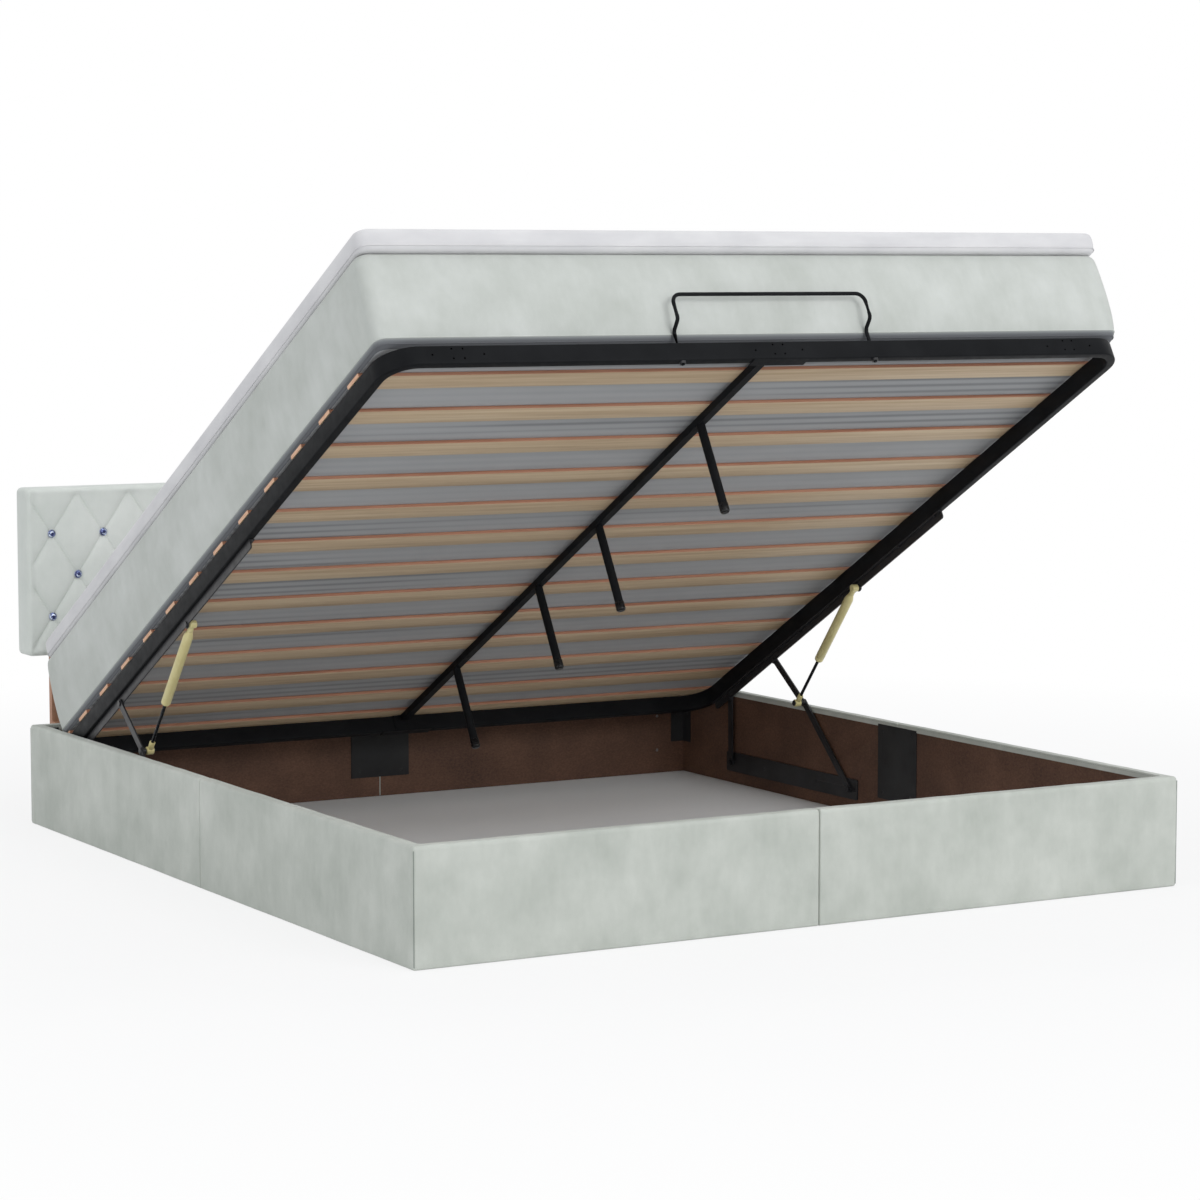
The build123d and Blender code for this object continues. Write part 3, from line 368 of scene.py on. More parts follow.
# Painted reflections: facet colours run from near black through blue to white glints.
reflection_colours = (0.0, rgb(24, 30, 74)), (0.34, rgb(54, 66, 132)), (0.58, rgb(128, 146, 204)), (0.8, rgb(222, 232, 250))
feed(tree, shader, Base_Color=ramp(tree, tint, *reflection_colours))
crystal_rim = plated("crystal_rim", rgb(120, 128, 150), rgb(190, 198, 214), 0.22)
print("crystal:", crystal.name)

# %% [markdown]
# ## Meshes from grids
# Most soft pieces here start as a box whose six sides are grids, which is then rounded: every point outside a
# smaller inner box is drawn onto a quarter circle about it. That gives even faces, all the way round a corner,
# which bend and swell well. The helpers below turn places and faces into an object, at the origin and untilted,
# and tell the frame what a finished piece is: the body it rides on, and the nodes it replaces.


# %% Helpers for meshes
def in_scene(name, mesh):
    """An object for a mesh, linked to the scene."""
    made = bpy.data.objects.new(name, mesh)
    bpy.context.scene.collection.objects.link(made)
    return made


def piece_of(name, places, faces, *materials):
    """A mesh object from corner places and faces, with its place in its mesh."""
    mesh = bpy.data.meshes.new(name)
    mesh.from_pydata([tuple(map(float, p)) for p in places], [], [tuple(map(int, f)) for f in faces])
    for material in materials:
        mesh.materials.append(material)
    mesh.shade_smooth()
    return in_scene(name, mesh)


def places_in(mesh):
    """The places of a mesh's points, one row each."""
    values = np.empty(len(mesh.vertices) * 3)
    mesh.vertices.foreach_get("co", values)
    return values.reshape(-1, 3)


def settled(piece):
    """Makes what the modifiers give the piece's own mesh."""
    mesh = bpy.data.meshes.new_from_object(piece.evaluated_get(bpy.context.evaluated_depsgraph_get()))
    piece.modifiers.clear()
    piece.data = mesh
    return piece


def stations(low, high, step, low_edge=0.0, high_edge=0.0, edge_lines=4):
    """Places of grid lines, with a few close ones where an edge is to be rounded."""
    count = max(2, round((high - low - low_edge - high_edge) / step) + 1)
    inner = np.linspace(low + low_edge, high - high_edge, count)
    first = np.linspace(low, low + low_edge, edge_lines + 1)[:-1] if low_edge else []
    last = np.linspace(high - high_edge, high, edge_lines + 1)[1:] if high_edge else []
    return np.concatenate([first, inner, last])


def box_skin(xs, ys, zs):
    """Corner places and outward faces of a closed box whose sides are grids."""
    counts = (len(xs), len(ys), len(zs))
    index = -np.ones(counts, int)
    grid = np.indices(counts)
    shell = np.zeros(counts, bool)
    for axis in range(3):
        shell |= (grid[axis] == 0) | (grid[axis] == counts[axis] - 1)
    index[shell] = np.arange(shell.sum())
    i, j, k = (g[shell] for g in grid)
    places = np.column_stack([np.asarray(xs)[i], np.asarray(ys)[j], np.asarray(zs)[k]])
    quads = []
    for axis, first_flips in enumerate((True, False, True)):
        for end, flip in ((0, first_flips), (-1, not first_flips)):
            side = np.take(index, end, axis)
            corners = [side[:-1, :-1], side[1:, :-1], side[1:, 1:], side[:-1, 1:]]
            quads.append(np.stack([c.ravel() for c in (corners[::-1] if flip else corners)], 1))
    return places, np.concatenate(quads)


def rounded(places, low, high, low_radii, high_radii):
    """Draws the edges of a box onto arcs, each side with its own radius."""
    core = np.clip(places, np.add(low, low_radii), np.subtract(high, high_radii))
    away = places - core
    radii = np.where(away < 0, low_radii, high_radii)
    share = np.abs(away) / np.where(radii == 0, 1, radii)
    length = np.linalg.norm(share, axis=1)
    scale = np.where(length > 0, share.max(1) / np.where(length == 0, 1, length), 1)
    return core + away * scale[:, None]


def ripple(places, size, depth, seed):
    """Slow random waves, the same on every run, one value for each place."""
    return np.array([depth * noise.noise(Vector(p) / size + Vector((seed, seed * 1.7, seed * 0.6))) for p in places])


def carved(piece, cutter):
    """Takes one closed piece out of another, which uses it up."""
    boolean = piece.modifiers.new("cut", "BOOLEAN")
    boolean.operation, boolean.solver, boolean.object = "DIFFERENCE", "EXACT", cutter
    settled(piece)
    bpy.data.objects.remove(cutter)
    return piece


def cut(piece, *cutters):
    """Takes boxes, each given by two corners, out of a piece."""
    for low, high in cutters:
        carved(piece, piece_of("cutter", *box_skin(*[np.array([a, b]) for a, b in zip(low, high)])))
    return piece


def shade_by_angle(piece, degrees):
    """Smooth faces, with a crisp edge wherever the surface turns by more than this."""
    piece.data.shade_smooth()
    piece.data.set_sharp_from_angle(angle=math.radians(degrees))
    return piece


def dressed(piece, body, slot, *nodes, fill=None):
    """What a finished piece rides on, and the nodes that it replaces. Its look, slot, and its padding's fullness,
    fill, are not used.
    """
    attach(piece, body)
    if nodes:
        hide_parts(*nodes)
    return piece


print("helpers for meshes are ready")

# %% [markdown]
# ## Box panels
# Each panel of the box is a board wrapped in foam and velvet. The cloth goes over the top and is fixed down
# inside, so the top edge is round and full, and the face waves by less than a millimetre. The cover is made as a
# rounded block as large as the wrapped panel. Then the board's own space is cut out of it, and the space under
# the short inner lip, which leaves one closed skin with the right thickness everywhere.

# %% Covers of the eight panels
HALF_WIDTH, HALF_LENGTH, HEIGHT = 0.915, 1.015, 0.238
PANEL, BOARD, LIP, LIP_DEPTH, SEAM = 0.025, 0.016, 0.0015, 0.014, 0.0005
CORNER, BOTTOM_EDGE, TOP_EDGE, SEAM_EDGE, INNER_EDGE = 0.007, 0.004, 0.011, 0.0035, 0.0012
GRID, LIP_GRID, SEAM_ZONE, LIP_ZONE = 0.0085, 0.006, 0.004, 0.0015
FACE_DEPTH, TOP_DEPTH, SEAM_FADE = 0.012, 0.006, 0.05
FACE_CLOTH, TOP_CLOTH, SEAM_CLOTH = 0.009, 0.003, 0.001
SWELL = 0.0008
FAR = 0.01


def cover(name, side, end, along):
    """One panel's velvet: along is 0 for the foot and head panels, 1 for the long sides."""
    across = 1 - along
    length, outer = (HALF_WIDTH, HALF_LENGTH)[along], (HALF_WIDTH, HALF_LENGTH)[across]
    stop, end_edge = (length - PANEL, 0.0) if along else (length, CORNER)
    inner = outer - PANEL
    lines = [None, None, None]
    lines[along] = stations(SEAM, stop, GRID, SEAM_ZONE, end_edge)
    lines[across] = stations(inner - LIP, outer, LIP_GRID, LIP_ZONE, CORNER)
    lines[2] = stations(0, HEIGHT, GRID, BOTTOM_EDGE, TOP_EDGE)
    places, faces = box_skin(*lines)
    low, high = [line[0] for line in lines], [line[-1] for line in lines]
    near_radii, far_radii = [0.0, 0.0, BOTTOM_EDGE], [0.0, 0.0, TOP_EDGE]
    near_radii[along], far_radii[along] = SEAM_EDGE, end_edge
    near_radii[across], far_radii[across] = INNER_EDGE, CORNER
    places = rounded(places, low, high, near_radii, far_radii)
    face = np.clip((places[:, across] - (outer - FACE_DEPTH)) / FACE_DEPTH, 0, 1)
    away_from_seam = np.clip((places[:, along] - SEAM) / SEAM_FADE, 0, 1)
    swell = SWELL * np.sin(np.pi * np.clip(places[:, 2] / HEIGHT, 0, 1)) * away_from_seam
    mirrored = places * [side, end, 1]
    waves = swell + ripple(mirrored, 0.11, 0.0011, 3) + ripple(mirrored, 0.035, 0.0004, 7)
    places[:, across] += face * (waves - SWELL)
    top = np.clip((places[:, 2] - (HEIGHT - TOP_DEPTH)) / TOP_DEPTH, 0, 1)
    places[:, 2] += top * (ripple(mirrored, 0.06, 0.0007, 11) - 0.0004)
    places = places * [side, end, 1] + [0, BOX_Y, 0]
    made = piece_of(name + "_velvet", places, faces if side * end > 0 else faces[:, ::-1], box_velvet)
    hollow = [[-FAR, 0], [-FAR, 0], [-FAR, HEIGHT - TOP_CLOTH]]
    hollow[along] = [SEAM + SEAM_CLOTH, stop + FAR if along else length - FACE_CLOTH]
    hollow[across] = [inner, inner + BOARD]
    under_lip = [[-FAR, 0], [-FAR, 0], [-FAR, HEIGHT - LIP_DEPTH]]
    under_lip[along] = [-FAR, length + FAR]
    under_lip[across] = [inner - 2 * FAR, inner]
    blocks = [hollow, under_lip]
    if not along:
        blocks.append([[length - PANEL - LIP, length + FAR], [inner - 2 * FAR, inner], [-FAR, HEIGHT + FAR]])
    for block in blocks:
        (low_x, high_x), (low_y, high_y) = (sorted(v * sign for v in pair) for pair, sign in zip(block, (side, end)))
        low_z, high_z = block[2]
        cut(made, ((low_x, low_y + BOX_Y, low_z), (high_x, high_y + BOX_Y, high_z)))
    return dressed(shade_by_angle(made, 50), "box", "velvet", name, fill=0.9)


covers = []
for side_name, side in (("left", -1), ("right", 1)):
    for end_name, end in (("foot", -1), ("head", 1)):
        covers.append(cover(f"{side_name}_side_{end_name}_cover", side, end, 1))
        covers.append(cover(f"{side_name}_{end_name}_cover", side, end, 0))
print("covers:", len(covers), "faces:", sum(len(c.data.polygons) for c in covers))

# %% [markdown]
# ## Tufted headboard
# Deep crossing creases run from crystal to crystal, and the foam bulges a little between them. A crease is only
# crisp where it follows the mesh, so the grid's cells have the slope of the creases: each crease then passes
# through grid corners, and its cells are split along it. The depth falls off quickly beside a crease, fades out
# before the pad's rim, and has a dimple at each crystal. The core's space and the slots for the posts are cut out.

# %% Headboard pad
PITCH_X, PITCH_Z, TUFT_Z = 0.0655, 0.099, 0.592
FACE_Y, BACK_Y, PAD_LOW, PAD_HIGH = 0.9785, 1.0465, 0.4, 0.8
EDGE, CELLS, SIDE_GRID, RIM, RIM_FADE = 0.013, 20, 0.012, 0.006, 0.016
CORE_FACE, CORE_INSET = 1.0035, 0.008
POST_IN, POST_OUT, POST_DEPTH = 0.7697, 0.8503, 0.0186
CREASE, CRISP, BROAD, DIMPLE, DIMPLE_REACH = 0.0088, 0.0055, 0.021, 0.0035, 0.013


def lattice(low, high, middle, pitch):
    """Grid lines at whole parts of the tuft pitch, with a few more on the rounded edges."""
    step = pitch / CELLS
    counts = np.arange(math.ceil((low + EDGE - middle) / step), math.floor((high - EDGE - middle) / step) + 1)
    first, last = np.linspace(low, low + EDGE, 5)[:-1], np.linspace(high - EDGE, high, 5)[1:]
    return np.concatenate([first, middle + step * counts, last])


def tuft_shares(places):
    """Where a place lies among the two families of creases: a whole number is on a crease."""
    rise, run = (places[..., 2] - TUFT_Z) / PITCH_Z, places[..., 0] / PITCH_X
    return (run + rise) / 2, (run - rise) / 2


xs = lattice(-HALF_WIDTH, HALF_WIDTH, 0, PITCH_X)
ys = stations(FACE_Y, BACK_Y, SIDE_GRID, EDGE)
zs = lattice(PAD_LOW, PAD_HIGH, TUFT_Z, PITCH_Z)
places, quads = box_skin(xs, ys, zs)
faces = []
front = (places[quads][:, :, 1] == FACE_Y).all(1)
first, second = tuft_shares(places[quads])
for quad, is_front, *shares in zip(quads.tolist(), front, first, second):
    split = None
    for share in shares if is_front else ():
        near = np.abs(share - np.round(share)) < 1e-6
        if near[0] and near[2]:
            split = 0
        elif near[1] and near[3]:
            split = 1
    if split is None:
        faces.append(quad)
    else:
        faces += [quad[:3], [quad[0], quad[2], quad[3]]] if split == 0 else [[quad[0], quad[1], quad[3]], quad[1:]]

spread = 2 * PITCH_X * PITCH_Z / math.hypot(PITCH_X, PITCH_Z)
falls = []
for share in tuft_shares(places):
    distance = np.abs(share - np.round(share)) * spread
    falls.append(0.55 * np.exp(-distance / CRISP) + 0.45 * np.exp(-distance / BROAD))
crease = 1 - (1 - falls[0]) * (1 - falls[1])
border = np.min([HALF_WIDTH - np.abs(places[:, 0]), PAD_HIGH - places[:, 2], places[:, 2] - PAD_LOW], 0)
fade = np.clip((border - RIM) / RIM_FADE, 0, 1)
fade = fade * fade * (3 - 2 * fade)
crossings = [(column, row) for row in (-1, 0, 1) for column in range(-13, 14) if (row + column) % 2 == 0]
buttons = [(column * PITCH_X, TUFT_Z + row * PITCH_Z) for column, row in crossings]
to_button = np.min([np.hypot(places[:, 0] - x, places[:, 2] - z) for x, z in buttons], 0)
depth = fade * (CREASE * crease + DIMPLE * np.exp(-((to_button / DIMPLE_REACH) ** 2)))
is_face = places[:, 1] == FACE_Y
waves = ripple(places, 0.09, 0.0009, 5)
low, high = (-HALF_WIDTH, FACE_Y, PAD_LOW), (HALF_WIDTH, BACK_Y, PAD_HIGH)
places = rounded(places, low, high, (EDGE, EDGE, EDGE), (EDGE, 0.0, EDGE))
places[:, 1] += np.where(is_face, depth + fade * waves, 0)
headboard_pad = piece_of("headboard_velvet", places, faces, pad_velvet)
core_x = HALF_WIDTH - CORE_INSET
cut(headboard_pad, ((-core_x, CORE_FACE, PAD_LOW + CORE_INSET), (core_x, BACK_Y + FAR, PAD_HIGH - CORE_INSET)))
for side in (-1, 1):
    low_x, high_x = sorted((side * POST_IN, side * POST_OUT))
    cut(headboard_pad, ((low_x, CORE_FACE, PAD_LOW - FAR), (high_x, CORE_FACE + POST_DEPTH, PAD_LOW + FAR)))
dressed(shade_by_angle(headboard_pad, 34), "box", "velvet", "headboard_pad", fill=0.8)
print("pad faces:", len(headboard_pad.data.polygons), "crystals:", len(buttons))

# %% [markdown]
# ## What repeats, and what follows a path
# Crystals, screws, stitches and slats repeat, and tubes, piping and the handle follow a path. Both are work for
# Geometry Nodes: a tree takes a few points or a path and returns the finished shapes. The result is turned into
# a plain mesh straight away, so that the finished piece carries no modifier.


# %% Helpers for Geometry Nodes
def new_tree(name, **inputs):
    """A Geometry Nodes tree with named inputs, given as name=kind, and its input and output nodes."""
    tree = bpy.data.node_groups.new(name, "GeometryNodeTree")
    for direction in ("INPUT", "OUTPUT"):
        tree.interface.new_socket(name="Geometry", in_out=direction, socket_type="NodeSocketGeometry")
    for key, kind in inputs.items():
        tree.interface.new_socket(name=key.replace("_", " "), in_out="INPUT", socket_type="NodeSocket" + kind)
    return tree, tree.nodes.new("NodeGroupInput").outputs, tree.nodes.new("NodeGroupOutput").inputs


def painted(tree, shape, material, chosen=True):
    """Sets the material of the chosen faces."""
    return node(tree, "GeometryNodeSetMaterial", Geometry=shape, Selection=chosen, Material=material)


def compared(tree, first, operation, second):
    """Whether one number is less or greater than another."""
    settings = {"data_type": "FLOAT", "operation": operation}
    return node(tree, "FunctionNodeCompare", settings, _0=first, _1=second)


def baked(name, tree, places, edges=(), attributes=None, **settings):
    """Runs a tree on points or a path, and returns the result as a plain mesh piece."""
    source = bpy.data.meshes.new(name)
    source.from_pydata([tuple(p) for p in places], list(edges), [])
    for key, values in (attributes or {}).items():
        layer = source.attributes.new(key, "FLOAT_VECTOR", "POINT")
        layer.data.foreach_set("vector", np.ravel(values))
    carrier = in_scene(name + "_source", source)
    modifier = carrier.modifiers.new("Nodes", "NODES")
    modifier.node_group = tree
    for item in tree.interface.items_tree:
        key = item.name.replace(" ", "_")
        if item.item_type == "SOCKET" and item.in_out == "INPUT" and key in settings:
            modifier[item.identifier] = settings[key]
    mesh = settled(carrier).data
    bpy.data.objects.remove(carrier)
    mesh.name = name
    kept = [number for number, material in enumerate(mesh.materials) if material]
    if kept and len(kept) < len(mesh.materials):
        materials = [mesh.materials[number] for number in kept]
        own = [kept.index(p.material_index) if p.material_index in kept else 0 for p in mesh.polygons]
        mesh.materials.clear()
        for material in materials:
            mesh.materials.append(material)
        mesh.polygons.foreach_set("material_index", own)
    return in_scene(name, mesh)


def path_edges(count, closed=False):
    """Edges that join points in a row."""
    return [(i, i + 1) for i in range(count - 1)] + ([(count - 1, 0)] if closed else [])


def repeated_tree():
    """One shape on every point, turned to the point's own facing, and spun at random about it.

    Faces that carry the value second get the second material."""
    inputs = {"Shape": "Object", "Spin": "Float", "Seed": "Int", "Material": "Material", "Second": "Material"}
    tree, given, result = new_tree("repeated", **inputs)
    facing = node(tree, "GeometryNodeInputNamedAttribute", {"data_type": "FLOAT_VECTOR"}, Name="facing")
    turned = node(tree, "FunctionNodeAlignRotationToVector", {"axis": "Z"}, Vector=facing)
    chance = node(tree, "FunctionNodeRandomValue", {"data_type": "FLOAT"}, _3=given["Spin"], Seed=given["Seed"])
    around = node(tree, "ShaderNodeCombineXYZ", Z=chance.outputs[1])
    turn = node(tree, "FunctionNodeEulerToRotation", Euler=around)
    spun = node(tree, "FunctionNodeRotateRotation", {"rotation_space": "LOCAL"}, Rotation=turned, _1=turn)
    shape = node(tree, "GeometryNodeObjectInfo", Object=given["Shape"]).outputs["Geometry"]
    spots = given["Geometry"]
    copies = node(tree, "GeometryNodeInstanceOnPoints", Points=spots, Instance=shape, Rotation=spun)
    real = node(tree, "GeometryNodeRealizeInstances", Geometry=copies)
    marked = node(tree, "GeometryNodeInputNamedAttribute", {"data_type": "FLOAT"}, Name="second")
    first = painted(tree, real, given["Material"])
    other = painted(tree, first, given["Second"], compared(tree, marked, "GREATER_THAN", 0.5))
    tree.links.new(other.outputs[0], result[0])
    return tree


repeated = repeated_tree()
print("tree:", repeated.name)

# %% [markdown]
# ## Crystals
# One crystal is four rings of points joined by facets, on a thin metal cup. Its facets get their painted
# reflection tints here, dark and light in turn, so that each copy shows painted glints whichever way it is spun.


# %% Crystals on the headboard
def ring(radius, height, count, turn=0.0):
    """Points of a regular polygon about the Z axis."""
    angles = [math.tau * (i + turn) / count for i in range(count)]
    return [(radius * math.cos(angle), radius * math.sin(angle), height) for angle in angles]


def rings_joined(rings):
    """Faces between rings of points of the same count, from the lowest ring to the highest, and both ends."""
    count = len(rings[0])
    places = [p for points in rings for p in points]
    faces = []
    for level in range(len(rings) - 1):
        for i in range(count):
            near, far = level * count + i, level * count + (i + 1) % count
            faces.append((near, far, far + count, near + count))
    faces.append(tuple(range(count))[::-1])
    faces.append(tuple(range((len(rings) - 1) * count, len(rings) * count)))
    return places, faces


SIDES = 8
stone_rings = (0.0080, 0.0008), (0.0088, 0.0024), (0.0064, 0.0052), (0.0036, 0.0070)
places = [p for level, (radius, height) in enumerate(stone_rings) for p in ring(radius, height, SIDES, level % 2 / 2)]
stone_faces, reflection_tints = [], []
# Painted reflections: each facet gets a dark or a light tint in turn.
glint_order = (0.05, 0.62, 0.3, 0.95, 0.18, 0.5, 0.82, 0.12)
for level in range(3):
    for i in range(SIDES):
        j = (i + 1) % SIDES
        low, high = level * SIDES, (level + 1) * SIDES
        if level % 2 == 0:
            stone_faces += [(low + i, low + j, high + i), (low + j, high + j, high + i)]
        else:
            stone_faces += [(low + i, high + j, high + i), (low + i, low + j, high + j)]
        reflection_tints += [glint_order[(i * 3 + level) % SIDES], glint_order[(i * 5 + level * 2 + 3) % SIDES]]
stone_faces.append(tuple(range(3 * SIDES, 4 * SIDES)))
reflection_tints.append(0.1)
cup_rings = (0.0088, 0.0), (0.0100, 0.0006), (0.0101, 0.0018), (0.0092, 0.0026), (0.0082, 0.0020)
cup_places, cup_faces = rings_joined([ring(radius, height, 16) for radius, height in cup_rings])
shift = len(places)
all_faces = stone_faces + [tuple(i + shift for i in face) for face in cup_faces]
stone = piece_of("one_crystal", places + cup_places, all_faces)
stone.data.shade_flat()
for key, values in (
    ("tint", reflection_tints + [0.5] * len(cup_faces)),
    ("second", [0.0] * len(reflection_tints) + [1.0] * len(cup_faces)),
):
    stone.data.attributes.new(key, "FLOAT", "FACE").data.foreach_set("value", values)
SUNK = 0.0085
spots = [(x, FACE_Y + SUNK, z) for x, z in buttons]
facing = {"facing": [(0, -1, 0)] * len(buttons)}
look = {"Material": crystal, "Second": crystal_rim}
crystals = baked("headboard_crystals", repeated, spots, (), facing, Shape=stone, Spin=math.tau, Seed=4, **look)
bpy.data.objects.remove(stone)
dressed(crystals, "box", "crystal", "headboard_buttons")
print("crystal faces:", len(crystals.data.polygons))

# %% [markdown]
# ## Stitches inside the box
# The velvet is turned over the boards and sewn down: a dotted line runs round the inside of the lip. The stitch
# is one tiny rod with pointed ends, repeated along the lip, lying along the panel that it is on.

# %% Stitches
STITCH, STITCH_PITCH, STITCH_DROP, FIRST_STITCH, LAST_STITCH = 0.0034, 0.0062, 0.0042, 0.008, 0.004
stitch_rings = (0.0002, -STITCH / 2), (0.00055, -STITCH * 0.3), (0.00055, STITCH * 0.3), (0.0002, STITCH / 2)
thread, tree, shader = finish_of("thread", Roughness=0.7)
twist = waves_of(tree, "DIAGONAL", place(tree, 0.0008))
feed(tree, shader, Base_Color=ramp(tree, twist, (0.2, rgb(128, 134, 126)), (0.8, rgb(168, 174, 166))))
one_stitch = piece_of("one_stitch", *rings_joined([ring(radius, height, 6) for radius, height in stitch_rings]))
places, facing = [], []
lip_x, lip_y, lip_z = HALF_WIDTH - PANEL - LIP, HALF_LENGTH - PANEL - LIP, HEIGHT - STITCH_DROP
for side in (-1, 1):
    for y in np.arange(-lip_y + FIRST_STITCH, lip_y - LAST_STITCH, STITCH_PITCH):
        places.append((side * lip_x, BOX_Y + y, lip_z))
        facing.append((0, 1, 0))
    for x in np.arange(-lip_x + FIRST_STITCH, lip_x - LAST_STITCH, STITCH_PITCH):
        places.append((x, BOX_Y + side * lip_y, lip_z))
        facing.append((1, 0, 0))
facing = {"facing": facing}
stitches = baked("lip_stitches", repeated, places, (), facing, Shape=one_stitch, Spin=0.0, Seed=0, Material=thread)
bpy.data.objects.remove(one_stitch)
dressed(stitches, "box", "velvet")
print("stitches:", len(places), "faces:", len(stitches.data.polygons))

# %% [markdown]
# ## Mattress
# The mattress is a rounded block with upright velvet sides, drawn in at the seam near its lower edge, and rolled
# under. Its outline at each height is scaled in, from a short table. Then the cloth is simulated: the top, the
# seam and the underside are held, and light pressure makes the border swell between them, as stuffing does.

# %% Mattress body
MATTRESS_LOW, MATTRESS_THICK = 0.048, 0.2
MATTRESS_X, MATTRESS_FOOT, MATTRESS_HEAD = 0.894, -0.983, 0.986
HEM, BLOCK_CORNER, MATTRESS_GRID, SEWN_TOP, NEAR = 0.065, 0.024, 0.022, 0.006, 0.0001


def sewn_block(name, half_x, foot, head, low, thickness, shares, insets, step, *materials, fuller=1.0):
    """A stuffed block in the platform's plane: insets, in mm, draw its outline in at each share of its height.

    In its lower half the sides and the head end are drawn in by only a part, fuller, of them."""
    corner = BLOCK_CORNER
    heights, insets = [low + share * thickness for share in shares], [inset * MM for inset in insets]
    xs, ys = (stations(start, stop, step, corner, corner, 6) for start, stop in ((-half_x, half_x), (foot, head)))
    places, faces = box_skin(xs, ys, np.array(heights))
    places = rounded(places, (-half_x, foot, 0), (half_x, head, 1), (corner, corner, 0), (corner, corner, 0))
    inset = np.interp(places[:, 2], heights, insets)
    low_part = places[:, 2] < (heights[0] + heights[-1]) / 2
    side_inset = np.where(low_part, inset * fuller, inset)
    middle = (foot + head) / 2
    places[:, 0] *= 1 - side_inset / half_x
    inset = np.where(places[:, 1] > middle, side_inset, inset)
    places[:, 1] = middle + (places[:, 1] - middle) * (1 - inset / ((head - foot) / 2))
    return piece_of(name, places, faces, *materials)


def swollen(piece, held, pressure, cap, frames=20):
    """Cloth simulation of a stuffed piece: held is true where the cloth is sewn or rests. No point moves past cap."""
    start = places_in(piece.data)
    group = piece.vertex_groups.new(name="held")
    group.add([int(index) for index in np.flatnonzero(held)], 1.0, "REPLACE")
    cloth = piece.modifiers.new("Cloth", "CLOTH")
    stiff = {"tension_stiffness": 18, "compression_stiffness": 18, "shear_stiffness": 8, "bending_stiffness": 2.5}
    stuffed = {"use_pressure": True, "uniform_pressure_force": pressure, "vertex_group_mass": "held"}
    for key, value in {"quality": 6, "mass": 0.35, **stiff, **stuffed}.items():
        setattr(cloth.settings, key, value)
    cloth.settings.effector_weights.gravity = 0
    cloth.collision_settings.use_collision = False
    cloth.point_cache.frame_start, cloth.point_cache.frame_end = 1, frames
    scene = bpy.context.scene
    for number in range(1, frames + 1):
        scene.frame_set(number)
    moved = bpy.data.meshes.new_from_object(piece.evaluated_get(bpy.context.evaluated_depsgraph_get()))
    piece.modifiers.clear()
    piece.vertex_groups.clear()
    scene.frame_set(1)
    move = places_in(moved) - start
    length = np.linalg.norm(move, axis=1)
    move *= (cap * np.tanh(length / cap) / np.maximum(length, 1e-9))[:, None]
    piece.data.vertices.foreach_set("co", (start + move).ravel())
    piece.data.update()
    print(piece.name, "pushed by up to", round(float(length.max()) * 1000, 1), "mm before the cap of", cap * 1000)
    return piece


def subdivided(piece):
    """One level of smooth subdivision, applied."""
    smooth = piece.modifiers.new("smooth", "SUBSURF")
    smooth.levels = smooth.render_levels = 1
    settled(piece).data.shade_smooth()
    return piece


shares = (0, 0.012, 0.03, 0.055, 0.085, 0.11, 0.18, 0.3, 0.42, 0.55, 0.68, 0.8, 0.88, 0.94, 0.975, 1)
insets = (28, 21, 16, 12.5, 10.5, 8.8, 5.5, 2.5, 1, 0, 0.2, 0.5, 1.1, 2.2, 5, 12)
size = MATTRESS_X, MATTRESS_FOOT, MATTRESS_HEAD, MATTRESS_LOW, MATTRESS_THICK
cloths = deck_velvet, mattress_ticking, band_cloth
mattress = sewn_block("mattress_body", *size, shares, insets, MATTRESS_GRID, *cloths, fuller=0.45)
height = places_in(mattress.data)[:, 2]
top = MATTRESS_LOW + MATTRESS_THICK
held = (height <= HEM + NEAR) | (height >= top - SEWN_TOP)
swollen(mattress, held, pressure=2.2, cap=0.004)
for polygon in mattress.data.polygons:
    z = polygon.center.z
    polygon.material_index = 1 if z < MATTRESS_LOW + 2 * NEAR else 2 if z < HEM - 2 * NEAR else 0
subdivided(mattress)
mattress.data.transform(deck)
dressed(mattress, "platform", "velvet", "mattress", fill=0.9)
print("mattress faces:", len(mattress.data.polygons))

# %% [markdown]
# ## Topper
# The topper is a thin white pad that has slid towards the foot, so it overhangs the mattress there a little. Its
# lower edge is not quite straight: it lies on soft velvet and makes a faintly wavy contact line. The sides and
# the top are left free in the simulation, and the sewn edges are held.

# %% Topper body
TOPPER_LOW, TOPPER_THICK, LEAN, CROWN_REACH = top, 0.044, 0.009, 0.22
TOPPER_X, TOPPER_FOOT, TOPPER_HEAD, TOPPER_GRID = 0.8905, -0.992, 0.976, 0.024
LOW_EDGE, HIGH_EDGE = 0.2, 0.85
shares = (0, 0.06, 0.16, 0.3, 0.55, 0.78, 0.9, 0.96, 1)
insets = (9, 3.6, 1.2, 0.2, 0, 0.8, 2.6, 5.5, 12)
size = TOPPER_X, TOPPER_FOOT, TOPPER_HEAD, TOPPER_LOW, TOPPER_THICK
topper = sewn_block("topper_body", *size, shares, insets, TOPPER_GRID, topper_knit)
places = places_in(topper.data)
rise = (places[:, 2] - TOPPER_LOW) / TOPPER_THICK
foot_share = np.clip((TOPPER_HEAD - places[:, 1]) / (TOPPER_HEAD - TOPPER_FOOT), 0, 1)
places[:, 1] -= LEAN * np.clip(rise, 0, 1) * foot_share
crown = np.minimum(1, (TOPPER_X - np.abs(places[:, 0])) / CROWN_REACH)
crown = crown * np.minimum(1, (TOPPER_HEAD - places[:, 1]) / CROWN_REACH)
crown *= np.clip((places[:, 1] - TOPPER_FOOT + LEAN) / CROWN_REACH, 0, 1)
on_top = rise > 0.99
places[:, 2] += np.where(on_top, 0.003 * np.clip(crown, 0, 1) + ripple(places, 0.16, 0.0012, 9), 0)
